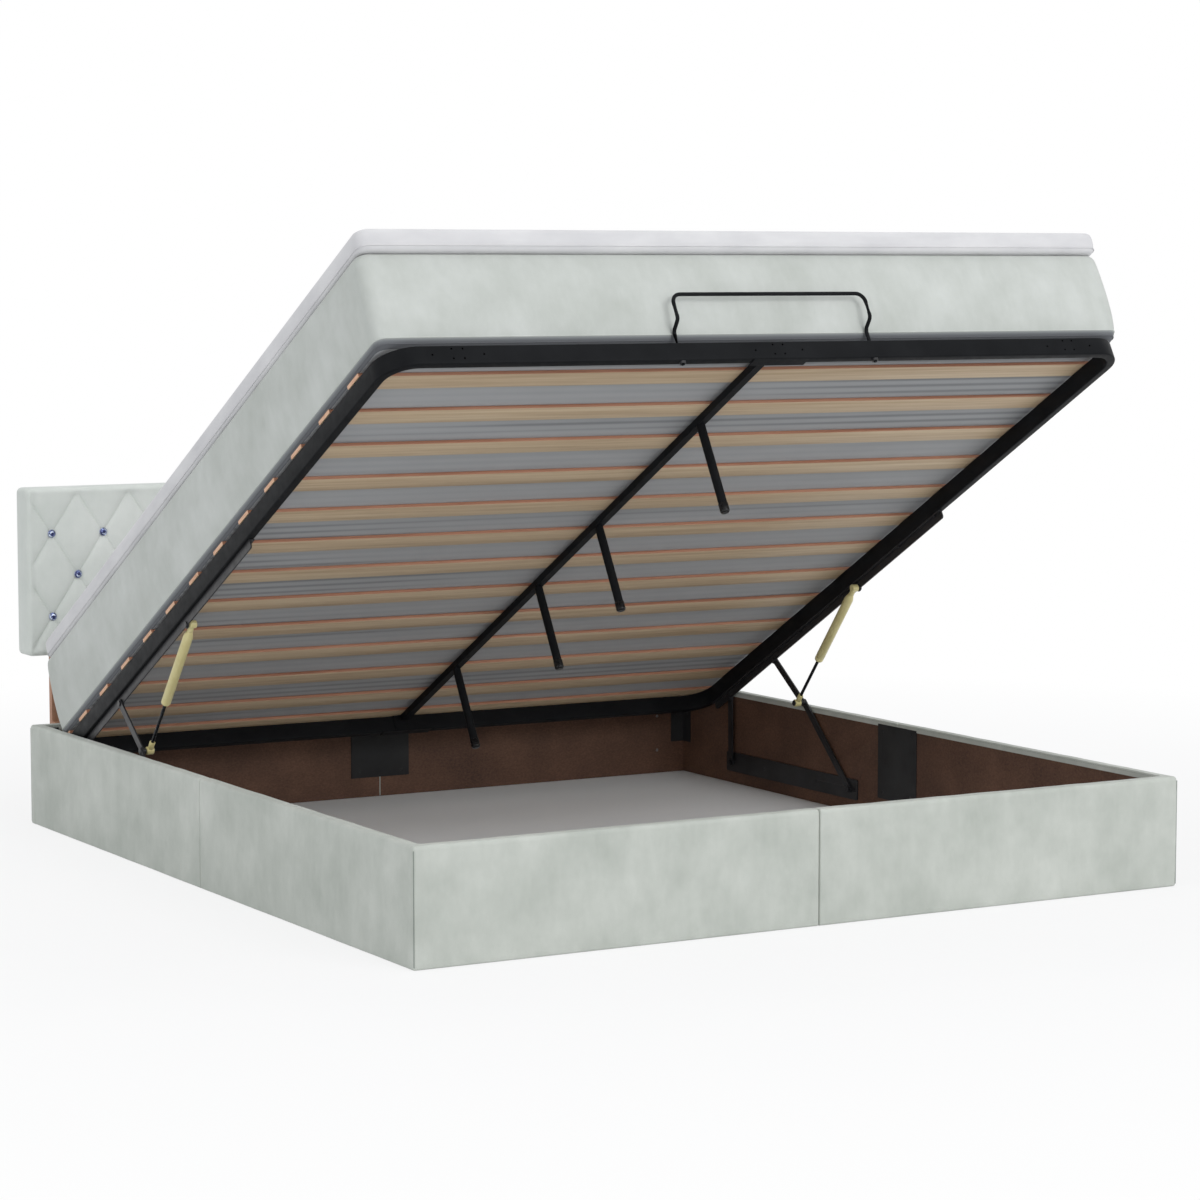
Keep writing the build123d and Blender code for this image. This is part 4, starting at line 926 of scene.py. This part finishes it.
places[:, 2] += np.where(rise < LOW_EDGE, ripple(places, 0.07, 0.0011, 2) + 0.0006, 0)
topper.data.vertices.foreach_set("co", places.ravel())
held = (rise < LOW_EDGE) | ((rise > HIGH_EDGE) & ~on_top)
swollen(topper, held, pressure=1.6, cap=0.0035)
subdivided(topper)
topper.data.transform(deck)
dressed(topper, "platform", "topper_cloth", "topper", fill=0.7)
print("topper faces:", len(topper.data.polygons))

# %% [markdown]
# ## Piping
# A sewn edge shows as a thin round cord of cloth that follows the outline. The path is the same rounded outline
# that the block has at that height, and the tree sweeps a small circle along it. The seams at the box's four
# upright corners are swept the same way.


# %% Piping and corner seams
def outline(half_x, foot, head, corner, height, count=10):
    """Points round a rounded rectangle in the platform's plane."""
    points = []
    for index, (x, y) in enumerate(((half_x, head), (-half_x, head), (-half_x, foot), (half_x, foot))):
        centre = (x - math.copysign(corner, x), y - (corner if y == head else -corner))
        for step in range(count + 1):
            angle = math.radians(90 * (index + step / count))
            points.append((centre[0] + corner * math.cos(angle), centre[1] + corner * math.sin(angle), height))
    return points


def soft_rectangle(tree, width, height, radius, count):
    """A rectangular profile with round corners of this many segments."""
    box = node(tree, "GeometryNodeCurvePrimitiveQuadrilateral", {"mode": "RECTANGLE"}, Width=width, Height=height)
    soft = node(tree, "GeometryNodeFilletCurve", Curve=box, Radius=radius)
    if hasattr(soft, "mode"):
        soft.mode = "POLY"
    soft.inputs["Count"].default_value = count
    return soft


def swept(tree, path, profile):
    """A profile swept along a path, kept upright, with closed ends."""
    upright = node(tree, "GeometryNodeSetCurveNormal", {"mode": "Z_UP"}, Curve=path)
    return node(tree, "GeometryNodeCurveToMesh", Curve=upright, Profile_Curve=profile, Fill_Caps=True)


def swept_tree(name, rounded_profile):
    """A profile swept along a path: a circle, or a rectangle with round edges."""
    tree, given, result = new_tree(name, Width="Float", Height="Float", Edge="Float", Material="Material")
    if rounded_profile:
        profile = soft_rectangle(tree, given["Width"], given["Height"], given["Edge"], 4)
    else:
        profile = node(tree, "GeometryNodeCurvePrimitiveCircle", Resolution=12, Radius=given["Width"])
    tube = swept(tree, node(tree, "GeometryNodeMeshToCurve", Mesh=given["Geometry"]), profile)
    real = node(tree, "GeometryNodeRealizeInstances", Geometry=node(tree, "GeometryNodeSetShadeSmooth", Geometry=tube))
    tree.links.new(painted(tree, real, given["Material"]).outputs[0], result[0])
    return tree


round_sweep = swept_tree("round_sweep", False)
square_sweep = swept_tree("square_sweep", True)


def piping(name, slot, material, radius, *size):
    points = outline(*size)
    made = baked(name, round_sweep, points, path_edges(len(points), True), Width=radius, Material=material)
    made.data.transform(deck)
    return dressed(made, "platform", slot)


DRAWN_CORNER, HEM_LOW = 0.0215, 0.0542
WELT_CORNER, WELT_RISE, WELT_SIDE, WELT_FOOT, WELT_HEAD = 0.0235, 0.0075, 0.0008, 0.0012, 0.001
for name, slot, material, radius, foot_inset, side_inset, height in (
    ("mattress_seam", "velvet", deck_velvet, 0.0017, 0.0116, 0.0052, HEM),
    ("mattress_hem", "mattress_cloth", band_cloth, 0.0013, 0.0166, 0.0078, HEM_LOW),
):
    size = (MATTRESS_X - side_inset, MATTRESS_FOOT + foot_inset, MATTRESS_HEAD - side_inset)
    piping(name, slot, material, radius, *size, DRAWN_CORNER, height)
size = (TOPPER_X - WELT_SIDE, TOPPER_FOOT - WELT_FOOT, TOPPER_HEAD - WELT_HEAD)
piping("topper_welt", "topper_cloth", topper_knit, 0.0012, *size, WELT_CORNER, TOPPER_LOW + WELT_RISE)
SEAM_INSET, SEAM_HEIGHTS = 0.002, (0.006, 0.229)
seam_x, seam_y = HALF_WIDTH - SEAM_INSET, HALF_LENGTH - SEAM_INSET
signs = [(side, end) for side in (-1, 1) for end in (-1, 1)]
seam_ends = [(side * seam_x, BOX_Y + end * seam_y, z) for side, end in signs for z in SEAM_HEIGHTS]
seam_edges = [(0, 1), (2, 3), (4, 5), (6, 7)]
corner_seams = baked("corner_seams", round_sweep, seam_ends, seam_edges, Width=0.0011, Material=seam_velvet)
dressed(corner_seams, "box", "velvet")
print("piping and seams done")

# %% [markdown]
# ## Platform frame
# The frame is two bent tubes that meet over the lift rails. A tube is one profile swept along its bend: a
# rectangle with round edges, kept upright by the path's normal. The row of small holes in the foot tube is cut
# afterwards, so that the holes are real recesses and stay dark from every side.

# %% Bent tubes
TUBE_WIDTH, TUBE_HEIGHT, TUBE_EDGE = 0.020, 0.040, 0.0032
FRAME_X, FRAME_Y, FRAME_CORNER = 0.885, 0.985, 0.075
HOLE_GROUPS, HOLES = (-0.731, 0, 0.731), ((0.056, 0.020), (0.012, 0.0115), (0.012, 0.0325))
HOLE_RADIUS, HOLE_DEPTH = 0.0022, 0.006


def bow_path(end):
    """The centre line of one bent tube, from the left joint round the end to the right joint."""
    half_x, reach, corner = (value - TUBE_WIDTH / 2 for value in (FRAME_X, FRAME_Y, FRAME_CORNER))
    points = [(-half_x, 0.0)]
    for centre_x, start in ((-half_x + corner, 180), (half_x - corner, 90)):
        for step in range(13):
            angle = math.radians(start - 90 * step / 12)
            points.append((centre_x + corner * math.cos(angle), reach - corner + corner * math.sin(angle)))
    points.append((half_x, 0.0))
    return [(x, end * y, TUBE_HEIGHT / 2) for x, y in points]


def drilled(piece, places, direction, radius, depth):
    """Round holes cut into a piece, in the platform's plane."""
    turn = Vector(direction).to_track_quat("Z", "Y").to_matrix()
    corners, faces = [], []
    for point in places:
        own, own_faces = rings_joined([ring(radius, -depth, 16), ring(radius, depth, 16)])
        faces += [tuple(i + len(corners) for i in face) for face in own_faces]
        corners += [tuple(Vector(point) + turn @ Vector(p)) for p in own]
    return carved(piece, piece_of("cutter", corners, faces))


sizes = {"Width": TUBE_WIDTH, "Height": TUBE_HEIGHT, "Edge": TUBE_EDGE}
for end_name, end in (("foot", -1), ("head", 1)):
    path = bow_path(end)
    edges = path_edges(len(path))
    bow = baked(f"{end_name}_frame_bow_tube", square_sweep, path, edges, **sizes, Material=frame_paint)
    if end < 0:
        offsets = [(sign * offset, height) for offset, height in HOLES for sign in (-1, 1)]
        spots = [(group + offset, -FRAME_Y, height) for group in HOLE_GROUPS for offset, height in offsets]
        drilled(bow, spots, (0, -1, 0), HOLE_RADIUS, HOLE_DEPTH)
    shade_by_angle(bow, 35)
    bow.data.transform(deck)
    dressed(bow, "platform", "frame_paint", f"{end_name}_frame_bow")
    print(bow.name, len(bow.data.polygons), "faces")

# %% [markdown]
# ## Slats
# Twelve slats lie across the tubes at one pitch, and one more on the head tube. The tree draws a slat once, as a
# thin rectangle with round edges swept across the bed, copies it along a line, and then paints it: veneer on its
# broad faces, the plywood's terracotta along its cut edges, and on its ends a paler copy of the cut-edge wood,
# which is painted light.


# %% Slats
SLAT_LENGTH, SLAT_WIDTH, SLAT_THICKNESS, SLAT_PITCH, FIRST_SLAT = 1.772, 0.055, 0.008, 0.1513, 0.153
SLAT_EDGE, FACING = 0.0015, 0.6


def slat_tree():
    kinds = {key: "Float" for key in ("Length", "Width", "Thickness")}
    tree, given, result = new_tree("slat_rows", **kinds, Veneer="Material", Cut_edge="Material", End="Material")
    halves = [reckon(tree, "MULTIPLY", given["Length"], share) for share in (-0.5, 0.5)]
    start, end = (node(tree, "ShaderNodeCombineXYZ", X=half) for half in halves)
    run = node(tree, "GeometryNodeCurvePrimitiveLine", Start=start, End=end)
    slat = swept(tree, run, soft_rectangle(tree, given["Width"], given["Thickness"], SLAT_EDGE, 2))
    copies = node(tree, "GeometryNodeInstanceOnPoints", Points=given["Geometry"], Instance=slat)
    real = node(tree, "GeometryNodeRealizeInstances", Geometry=copies)
    normal = node(tree, "ShaderNodeSeparateXYZ", Vector=node(tree, "GeometryNodeInputNormal"))
    upward, endward = (reckon(tree, "ABSOLUTE", normal.outputs[axis]) for axis in "ZX")
    faced = painted(tree, real, given["Veneer"])
    edged = painted(tree, faced, given["Cut edge"], compared(tree, upward, "LESS_THAN", FACING))
    # Painted light: faces that point along the slat get the paler, lit copy of the cut-edge wood.
    ended = painted(tree, edged, given["End"], compared(tree, endward, "GREATER_THAN", FACING))
    tree.links.new(ended.outputs[0], result[0])
    return tree


rows = [-FRAME_Y + FIRST_SLAT + SLAT_PITCH * number for number in range(12)] + [FRAME_Y - SLAT_WIDTH / 2]
spots = [(0, y, TUBE_HEIGHT + SLAT_THICKNESS / 2) for y in rows]
sizes = {"Length": SLAT_LENGTH, "Width": SLAT_WIDTH, "Thickness": SLAT_THICKNESS}
slats = baked("slats", slat_tree(), spots, **sizes, Veneer=slat_veneer, Cut_edge=slat_edge, End=slat_end)
shade_by_angle(slats, 35)
slats.data.transform(deck)
dressed(slats, "platform", "slat_wood", "foot_slats", "head_slats")
print("slats:", len(rows), "faces:", len(slats.data.polygons), [m.name for m in slats.data.materials])

# %% [markdown]
# ## Lift handle
# The handle is one rod, bent six times, that stands through the foot tube and bows out over the box's edge. Its
# path is the bend points with arcs at them, and the same tree that made the piping sweeps a circle along it.


# %% Handle
def bent(points, radii, count=8):
    """A path through bend points, with an arc of its own radius at each inner one."""
    points = [Vector(p) for p in points]
    made = [points[0]]
    for before, corner, after, radius in zip(points, points[1:], points[2:], radii):
        back, ahead = (before - corner).normalized(), (after - corner).normalized()
        half = back.angle(ahead) / 2
        reach = radius / math.tan(half)
        middle = corner + (back + ahead).normalized() * (radius / math.sin(half))
        first, last = (corner + back * reach - middle).normalized(), (corner + ahead * reach - middle).normalized()
        for step in range(count + 1):
            made.append(middle + first.slerp(last, step / count) * radius)
    return made + [points[-1]]


HANDLE_X, HANDLE_Y, HANDLE_OUT, ROD, KNEE_BEND, BAR_BEND = 0.231, -0.978, -1.005, 0.004, 0.012, 0.020
half_handle = (HANDLE_Y, -0.007), (HANDLE_Y, 0.068), (HANDLE_OUT, 0.083), (HANDLE_OUT, 0.138)
bends = [(-HANDLE_X, y, z) for y, z in half_handle] + [(HANDLE_X, y, z) for y, z in half_handle[::-1]]
path = bent(bends, (KNEE_BEND, KNEE_BEND, BAR_BEND, BAR_BEND, KNEE_BEND, KNEE_BEND))
handle = baked("lift_handle_rod", round_sweep, path, path_edges(len(path)), Width=ROD, Material=frame_paint)
shade_by_angle(handle, 50)
handle.data.transform(deck)
dressed(handle, "platform", "frame_paint", "lift_handle")
print("handle faces:", len(handle.data.polygons))

# %% [markdown]
# ## Sheet metal, boards and posts
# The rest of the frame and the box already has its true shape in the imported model, but with knife-sharp edges.
# Real sheet metal and board edges are slightly broken, and that thin line of light is what makes them believable.
# Each of these pieces is a copy of its node: loose triangles merged, flat faces joined, and the sharp edges
# bevelled by half a millimetre to two.


# %% Softened copies
def softened(name, width, material, slot):
    """A copy of a node with its sharp edges bevelled."""
    source = frame["nodes"][name]
    mesh = bmesh.new()
    mesh.from_mesh(source.data)
    bmesh.ops.remove_doubles(mesh, verts=mesh.verts, dist=1e-5)
    bmesh.ops.dissolve_limit(mesh, angle_limit=math.radians(1.5), verts=mesh.verts, edges=mesh.edges)
    sharp = [e for e in mesh.edges if len(e.link_faces) == 2 and e.calc_face_angle(0) > math.radians(50)]
    bmesh.ops.bevel(mesh, geom=sharp, offset=width, segments=2, profile=0.5, affect="EDGES", clamp_overlap=True)
    for face in mesh.faces:
        face.material_index = 0
    made = in_scene(name + "_soft", bpy.data.meshes.new(name + "_soft"))
    mesh.to_mesh(made.data)
    mesh.free()
    made.data.materials.clear()
    made.data.materials.append(material)
    return dressed(shade_by_angle(made, 24), source["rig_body"], slot, name)


FINE = 0.0005
sheet_parts = "front_link", "front_arm", "rear_link", "lift_rail", "base_plate"
board_parts = "side_foot", "foot", "side_head", "head"
side_jobs = [(part, FINE, lift_paint, "lift_paint") for part in sheet_parts]
side_jobs += [("knee_pin", FINE, blackened, "zinc"), ("post", 0.0014, post_wood, "bare_wood")]
side_jobs += [(part + "_board", 0.0006, board_brown, "board") for part in board_parts]
edge_jobs = [(f"{side}_{part}", *look) for side in ("left", "right") for part, *look in side_jobs]
edge_jobs += [
    ("headboard_core", 0.0010, board_brown, "board"),
    ("joining_plates", FINE, plate_steel, "zinc"),
    ("corner_brackets", FINE, plate_steel, "zinc"),
    ("beam_plates", FINE, frame_paint, "frame_paint"),
    ("centre_beam", 0.0018, frame_paint, "frame_paint"),
    ("legs", 0.0004, frame_paint, "frame_paint"),
    ("leg_caps", 0.0006, cap_plastic, "black_plastic"),
    ("rail_pins", FINE, blackened, "zinc"),
    ("rail_bolts", FINE, blackened, "zinc"),
    ("stud_nuts", 0.0006, blackened, "zinc"),
    ("handle_nuts", 0.0006, blackened, "zinc"),
    ("post_bolts", 0.0007, zinc, "zinc"),
]
for job in edge_jobs:
    softened(*job)
for slot_item in frame["nodes"]["frame_sleeves"].material_slots:
    slot_item.material = frame_paint
print("softened copies:", len(edge_jobs))

# %% [markdown]
# ## Screws
# Flat-headed screws hold the plates to the boards. A head is a shallow disc with a cross cut into it. They all
# share one shape, set on points that face inwards from the boards, and turned at random as a real row is.

# %% Screws
SCREW, PLATE, BASE_PLATE, PROUD = 0.0049, 0.002, 0.003, 0.0001
SEAM_ROW, SEAM_ROWS, BRACKET_INSET, BRACKET_ROW = 0.058, (0.213, 0.065), 0.024, 0.155
BASE_ROW, BASE_END = 0.055, 0.012
head_rings = (SCREW * 0.8, -0.0011), (SCREW * 0.97, -0.0003), (SCREW * 0.9, 0.0)
one_screw = piece_of("one_screw", *rings_joined([ring(radius, height, 20) for radius, height in head_rings]))
arm, thin = SCREW * 0.5, SCREW * 0.11
for half_x, half_y in ((arm, thin), (thin, arm)):
    cut(one_screw, ((-half_x, -half_y, -0.0007), (half_x, half_y, 0.001)))
shade_by_angle(one_screw, 30)
inner_x, inner_y = HALF_WIDTH - PANEL, HALF_LENGTH - PANEL
places, facing = [], []
for side in (-1, 1):
    on_side, on_end = side * (inner_x - PLATE - PROUD), BOX_Y + side * (inner_y - PLATE - PROUD)
    for spread in (-SEAM_ROW, SEAM_ROW):
        for height in SEAM_ROWS:
            places += [(on_side, BOX_Y + spread, height), (spread, on_end, height)]
            facing += [(-side, 0, 0), (0, -side, 0)]
    for end in (-1, 1):
        places.append((on_side, BOX_Y + end * (inner_y - BRACKET_INSET), BRACKET_ROW))
        places.append((side * (inner_x - BRACKET_INSET), BOX_Y + end * (inner_y - PLATE - PROUD), BRACKET_ROW))
        facing += [(-side, 0, 0), (0, -end, 0)]
    low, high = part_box("left_base_plate")
    run = high.y - low.y
    for y in (low.y + BASE_END, low.y + 0.3 * run, high.y - 0.3 * run, high.y - BASE_END):
        places.append((side * (inner_x - BASE_PLATE - PROUD), y, BASE_ROW))
        facing.append((-side, 0, 0))
facing = {"facing": facing}
look = {"Spin": math.tau, "Seed": 11, "Material": blackened}
screws = baked("flush_screws", repeated, places, (), facing, Shape=one_screw, **look)
bpy.data.objects.remove(one_screw)
shade_by_angle(screws, 30)
dressed(screws, "box", "zinc", "joining_screws", "bracket_screws", "base_plate_screws")
print("screws:", len(places), "faces:", len(screws.data.polygons))

# %% [markdown]
# ## Gas struts
# A gas strut is turned work: a cylinder with rolled-in shoulders, and a thin hard rod that slides out of it. Each
# half is a profile spun about the strut's line, with an eye across its end. The cylinder rides with the platform's
# end of the strut and the rod with the front link's, so they slide in each other when the bed is shut.

# %% Struts
KNEE, TOP_PIN = Vector((0, 0.3665, 0.246)), Vector((0, 0.116631, 0.552201))
STRUT_X, STRUT_R, EYE_HALF = 0.8624, 0.011, 0.0088
body_profile = [
    (0.004, 0.0040), (0.0085, 0.0064), (0.0205, 0.0066), (0.0220, 0.0056), (0.0235, 0.0070), (0.0300, 0.0088),
    (0.0345, 0.0104), (0.0400, STRUT_R), (0.2320, STRUT_R), (0.2335, STRUT_R - 0.0006), (0.2350, STRUT_R - 0.0006),
    (0.2365, STRUT_R - 0.0001), (0.2425, 0.0106), (0.2450, 0.0094), (0.2460, 0.0072), (0.2460, 0.0042),
]
ferrule_profile = [(0.004, 0.0040), (0.0085, 0.0064), (0.0260, 0.0066), (0.0280, 0.0056)]
shaft_profile = [(0.006, 0.0039), (0.1785, 0.0039), (0.1790, 0.0034)]


def turned(start, direction, profile, material, count=28):
    """A profile of (distance, radius) steps spun about a line."""
    turn = direction.to_track_quat("Z", "X").to_matrix()
    places, faces = rings_joined([ring(radius, distance, count) for distance, radius in profile])
    return piece_of("turned", [start + turn @ Vector(p) for p in places], faces, material)


def eye(centre):
    """The eye at a strut's end: a short drum across the bed, with round rims and a dished face."""
    half = EYE_HALF
    rims = [(half, 0.0035), (half, 0.0072), (half - 0.0016, 0.0090)]
    return turned(centre, Vector((1, 0, 0)), [(-x, r) for x, r in rims] + rims[::-1], strut_paint)


def joined(name, *pieces):
    """Several mesh objects made one, with their materials kept."""
    mesh = bmesh.new()
    materials = []
    for piece in pieces:
        before = len(mesh.faces)
        mesh.from_mesh(piece.data)
        mesh.faces.ensure_lookup_table()
        materials += [m for m in piece.data.materials if m not in materials]
        for face in mesh.faces[before:]:
            face.material_index = materials.index(piece.data.materials[face.material_index])
        bpy.data.objects.remove(piece)
    made = in_scene(name, bpy.data.meshes.new(name))
    mesh.to_mesh(made.data)
    mesh.free()
    for material in materials:
        made.data.materials.append(material)
    return made


line = (TOP_PIN - KNEE).normalized()
for side_name, side in (("left", -1), ("right", 1)):
    offset = Vector((side * STRUT_X, 0, 0))
    pin, knee = TOP_PIN + offset, KNEE + offset
    cylinder = joined(f"{side_name}_strut_body", turned(pin, -line, body_profile, strut_paint), eye(pin))
    rod = joined(
        f"{side_name}_strut_shaft",
        turned(knee, line, ferrule_profile, strut_paint),
        turned(knee, line, shaft_profile, strut_steel, 20),
        eye(knee),
    )
    for piece, body in ((cylinder, f"{side_name}_strut_cylinder"), (rod, f"{side_name}_strut_rod")):
        dressed(shade_by_angle(piece, 42), body, "strut_paint", body)
print("strut length open:", round((TOP_PIN - KNEE).length * 1000, 1), "mm")

# %% [markdown]
# ## Floor and light
# The floor is pale and keeps a soft shadow near the bed. Only the camera, mirrors and glass see it and the sky as
# plain white: that comes from Light Path, not from more light on the bed. Inside the box the floor shows its true
# shade. Daylight from all round, one large soft lamp from the foot end and two weaker ones, from the left and
# from above, show the velvet at about its own colour.

# %% Stage
CAMERA_WHITE = 0.8
INSIDE = (0.902, 1.002, 1)


def seen_only(tree):
    """1 for rays that look: the camera's, and those in mirrors and glass."""
    path = node(tree, "ShaderNodeLightPath").outputs
    mirrored = reckon(tree, "MAXIMUM", path["Is Camera Ray"], path["Is Glossy Ray"])
    return reckon(tree, "MAXIMUM", mirrored, path["Is Transmission Ray"])


world = bpy.data.worlds.new("studio")
bpy.context.scene.world = world
world.use_nodes = True
tree = world.node_tree
background = tree.nodes["Background"]
background.inputs["Color"].default_value = (0.95, 0.975, 1, 1)
background.inputs["Strength"].default_value = 0.62
white = node(tree, "ShaderNodeBackground", Color=(1, 1, 1, 1), Strength=1.0)
chosen = node(tree, "ShaderNodeMixShader", _0=seen_only(tree), _1=background, _2=white)
feed(tree, tree.nodes["World Output"], Surface=chosen.outputs[0])

floor_paint, tree, shader = finish_of("floor_paint", Roughness=0.9, Specular_IOR_Level=0.1)
shade = cloud(tree, place(tree, 0.5), 2.0)
feed(tree, shader, Base_Color=ramp(tree, shade, (0.3, rgb(232, 233, 234)), (0.7, rgb(236, 236, 237))))
glow = node(tree, "ShaderNodeEmission", Color=(1, 1, 1, 1), Strength=1.0)
own = node(tree, "ShaderNodeTexCoord").outputs["Object"]
centred = node(tree, "ShaderNodeVectorMath", {"operation": "LENGTH"}, _0=own)
near = {"From_Min": 1.6, "From_Max": 3.6, "To_Min": CAMERA_WHITE, "To_Max": 1.0}
far = node(tree, "ShaderNodeMapRange", Value=centred.outputs["Value"], **near)
shifted = node(tree, "ShaderNodeVectorMath", {"operation": "ADD"}, _0=own, _1=(0, -BOX_Y, 0))
mirrored = node(tree, "ShaderNodeVectorMath", {"operation": "ABSOLUTE"}, _0=shifted)
inside = node(tree, "ShaderNodeVectorMath", {"operation": "DIVIDE"}, _0=mirrored, _1=INSIDE)
reach = node(tree, "ShaderNodeSeparateXYZ", Vector=inside).outputs
outside = reckon(tree, "GREATER_THAN", reckon(tree, "MAXIMUM", reach["X"], reach["Y"]), 1.0)
amount = reckon(tree, "MULTIPLY", seen_only(tree), reckon(tree, "MULTIPLY", outside, far))
mixed = node(tree, "ShaderNodeMixShader", _0=amount, _1=shader, _2=glow)
feed(tree, tree.nodes["Material Output"], Surface=mixed.outputs[0])
FLOOR, FLOOR_Z = 40, -0.0006
corners = [(x * FLOOR, y * FLOOR, FLOOR_Z) for x, y in ((-1, -1), (1, -1), (1, 1), (-1, 1))]
floor = piece_of("floor", corners, [(0, 1, 2, 3)], floor_paint)

for name, location, target, size, power in (
    ("key", (1.6, -7.0, 4.2), (0, 0, 0.5), 4.0, 190),
    ("fill", (-6.5, -2.0, 3.5), (0, 0, 0.4), 4.0, 60),
    ("top", (0, 0.5, 6.5), (0, 0, 0.5), 5.0, 70),
):
    lamp = bpy.data.lights.new(name, "AREA")
    lamp.size, lamp.energy = size, power
    made = in_scene(name, lamp)
    made.location = location
    made.rotation_euler = (Vector(target) - Vector(location)).to_track_quat("-Z", "Y").to_euler()
print("stage is set")
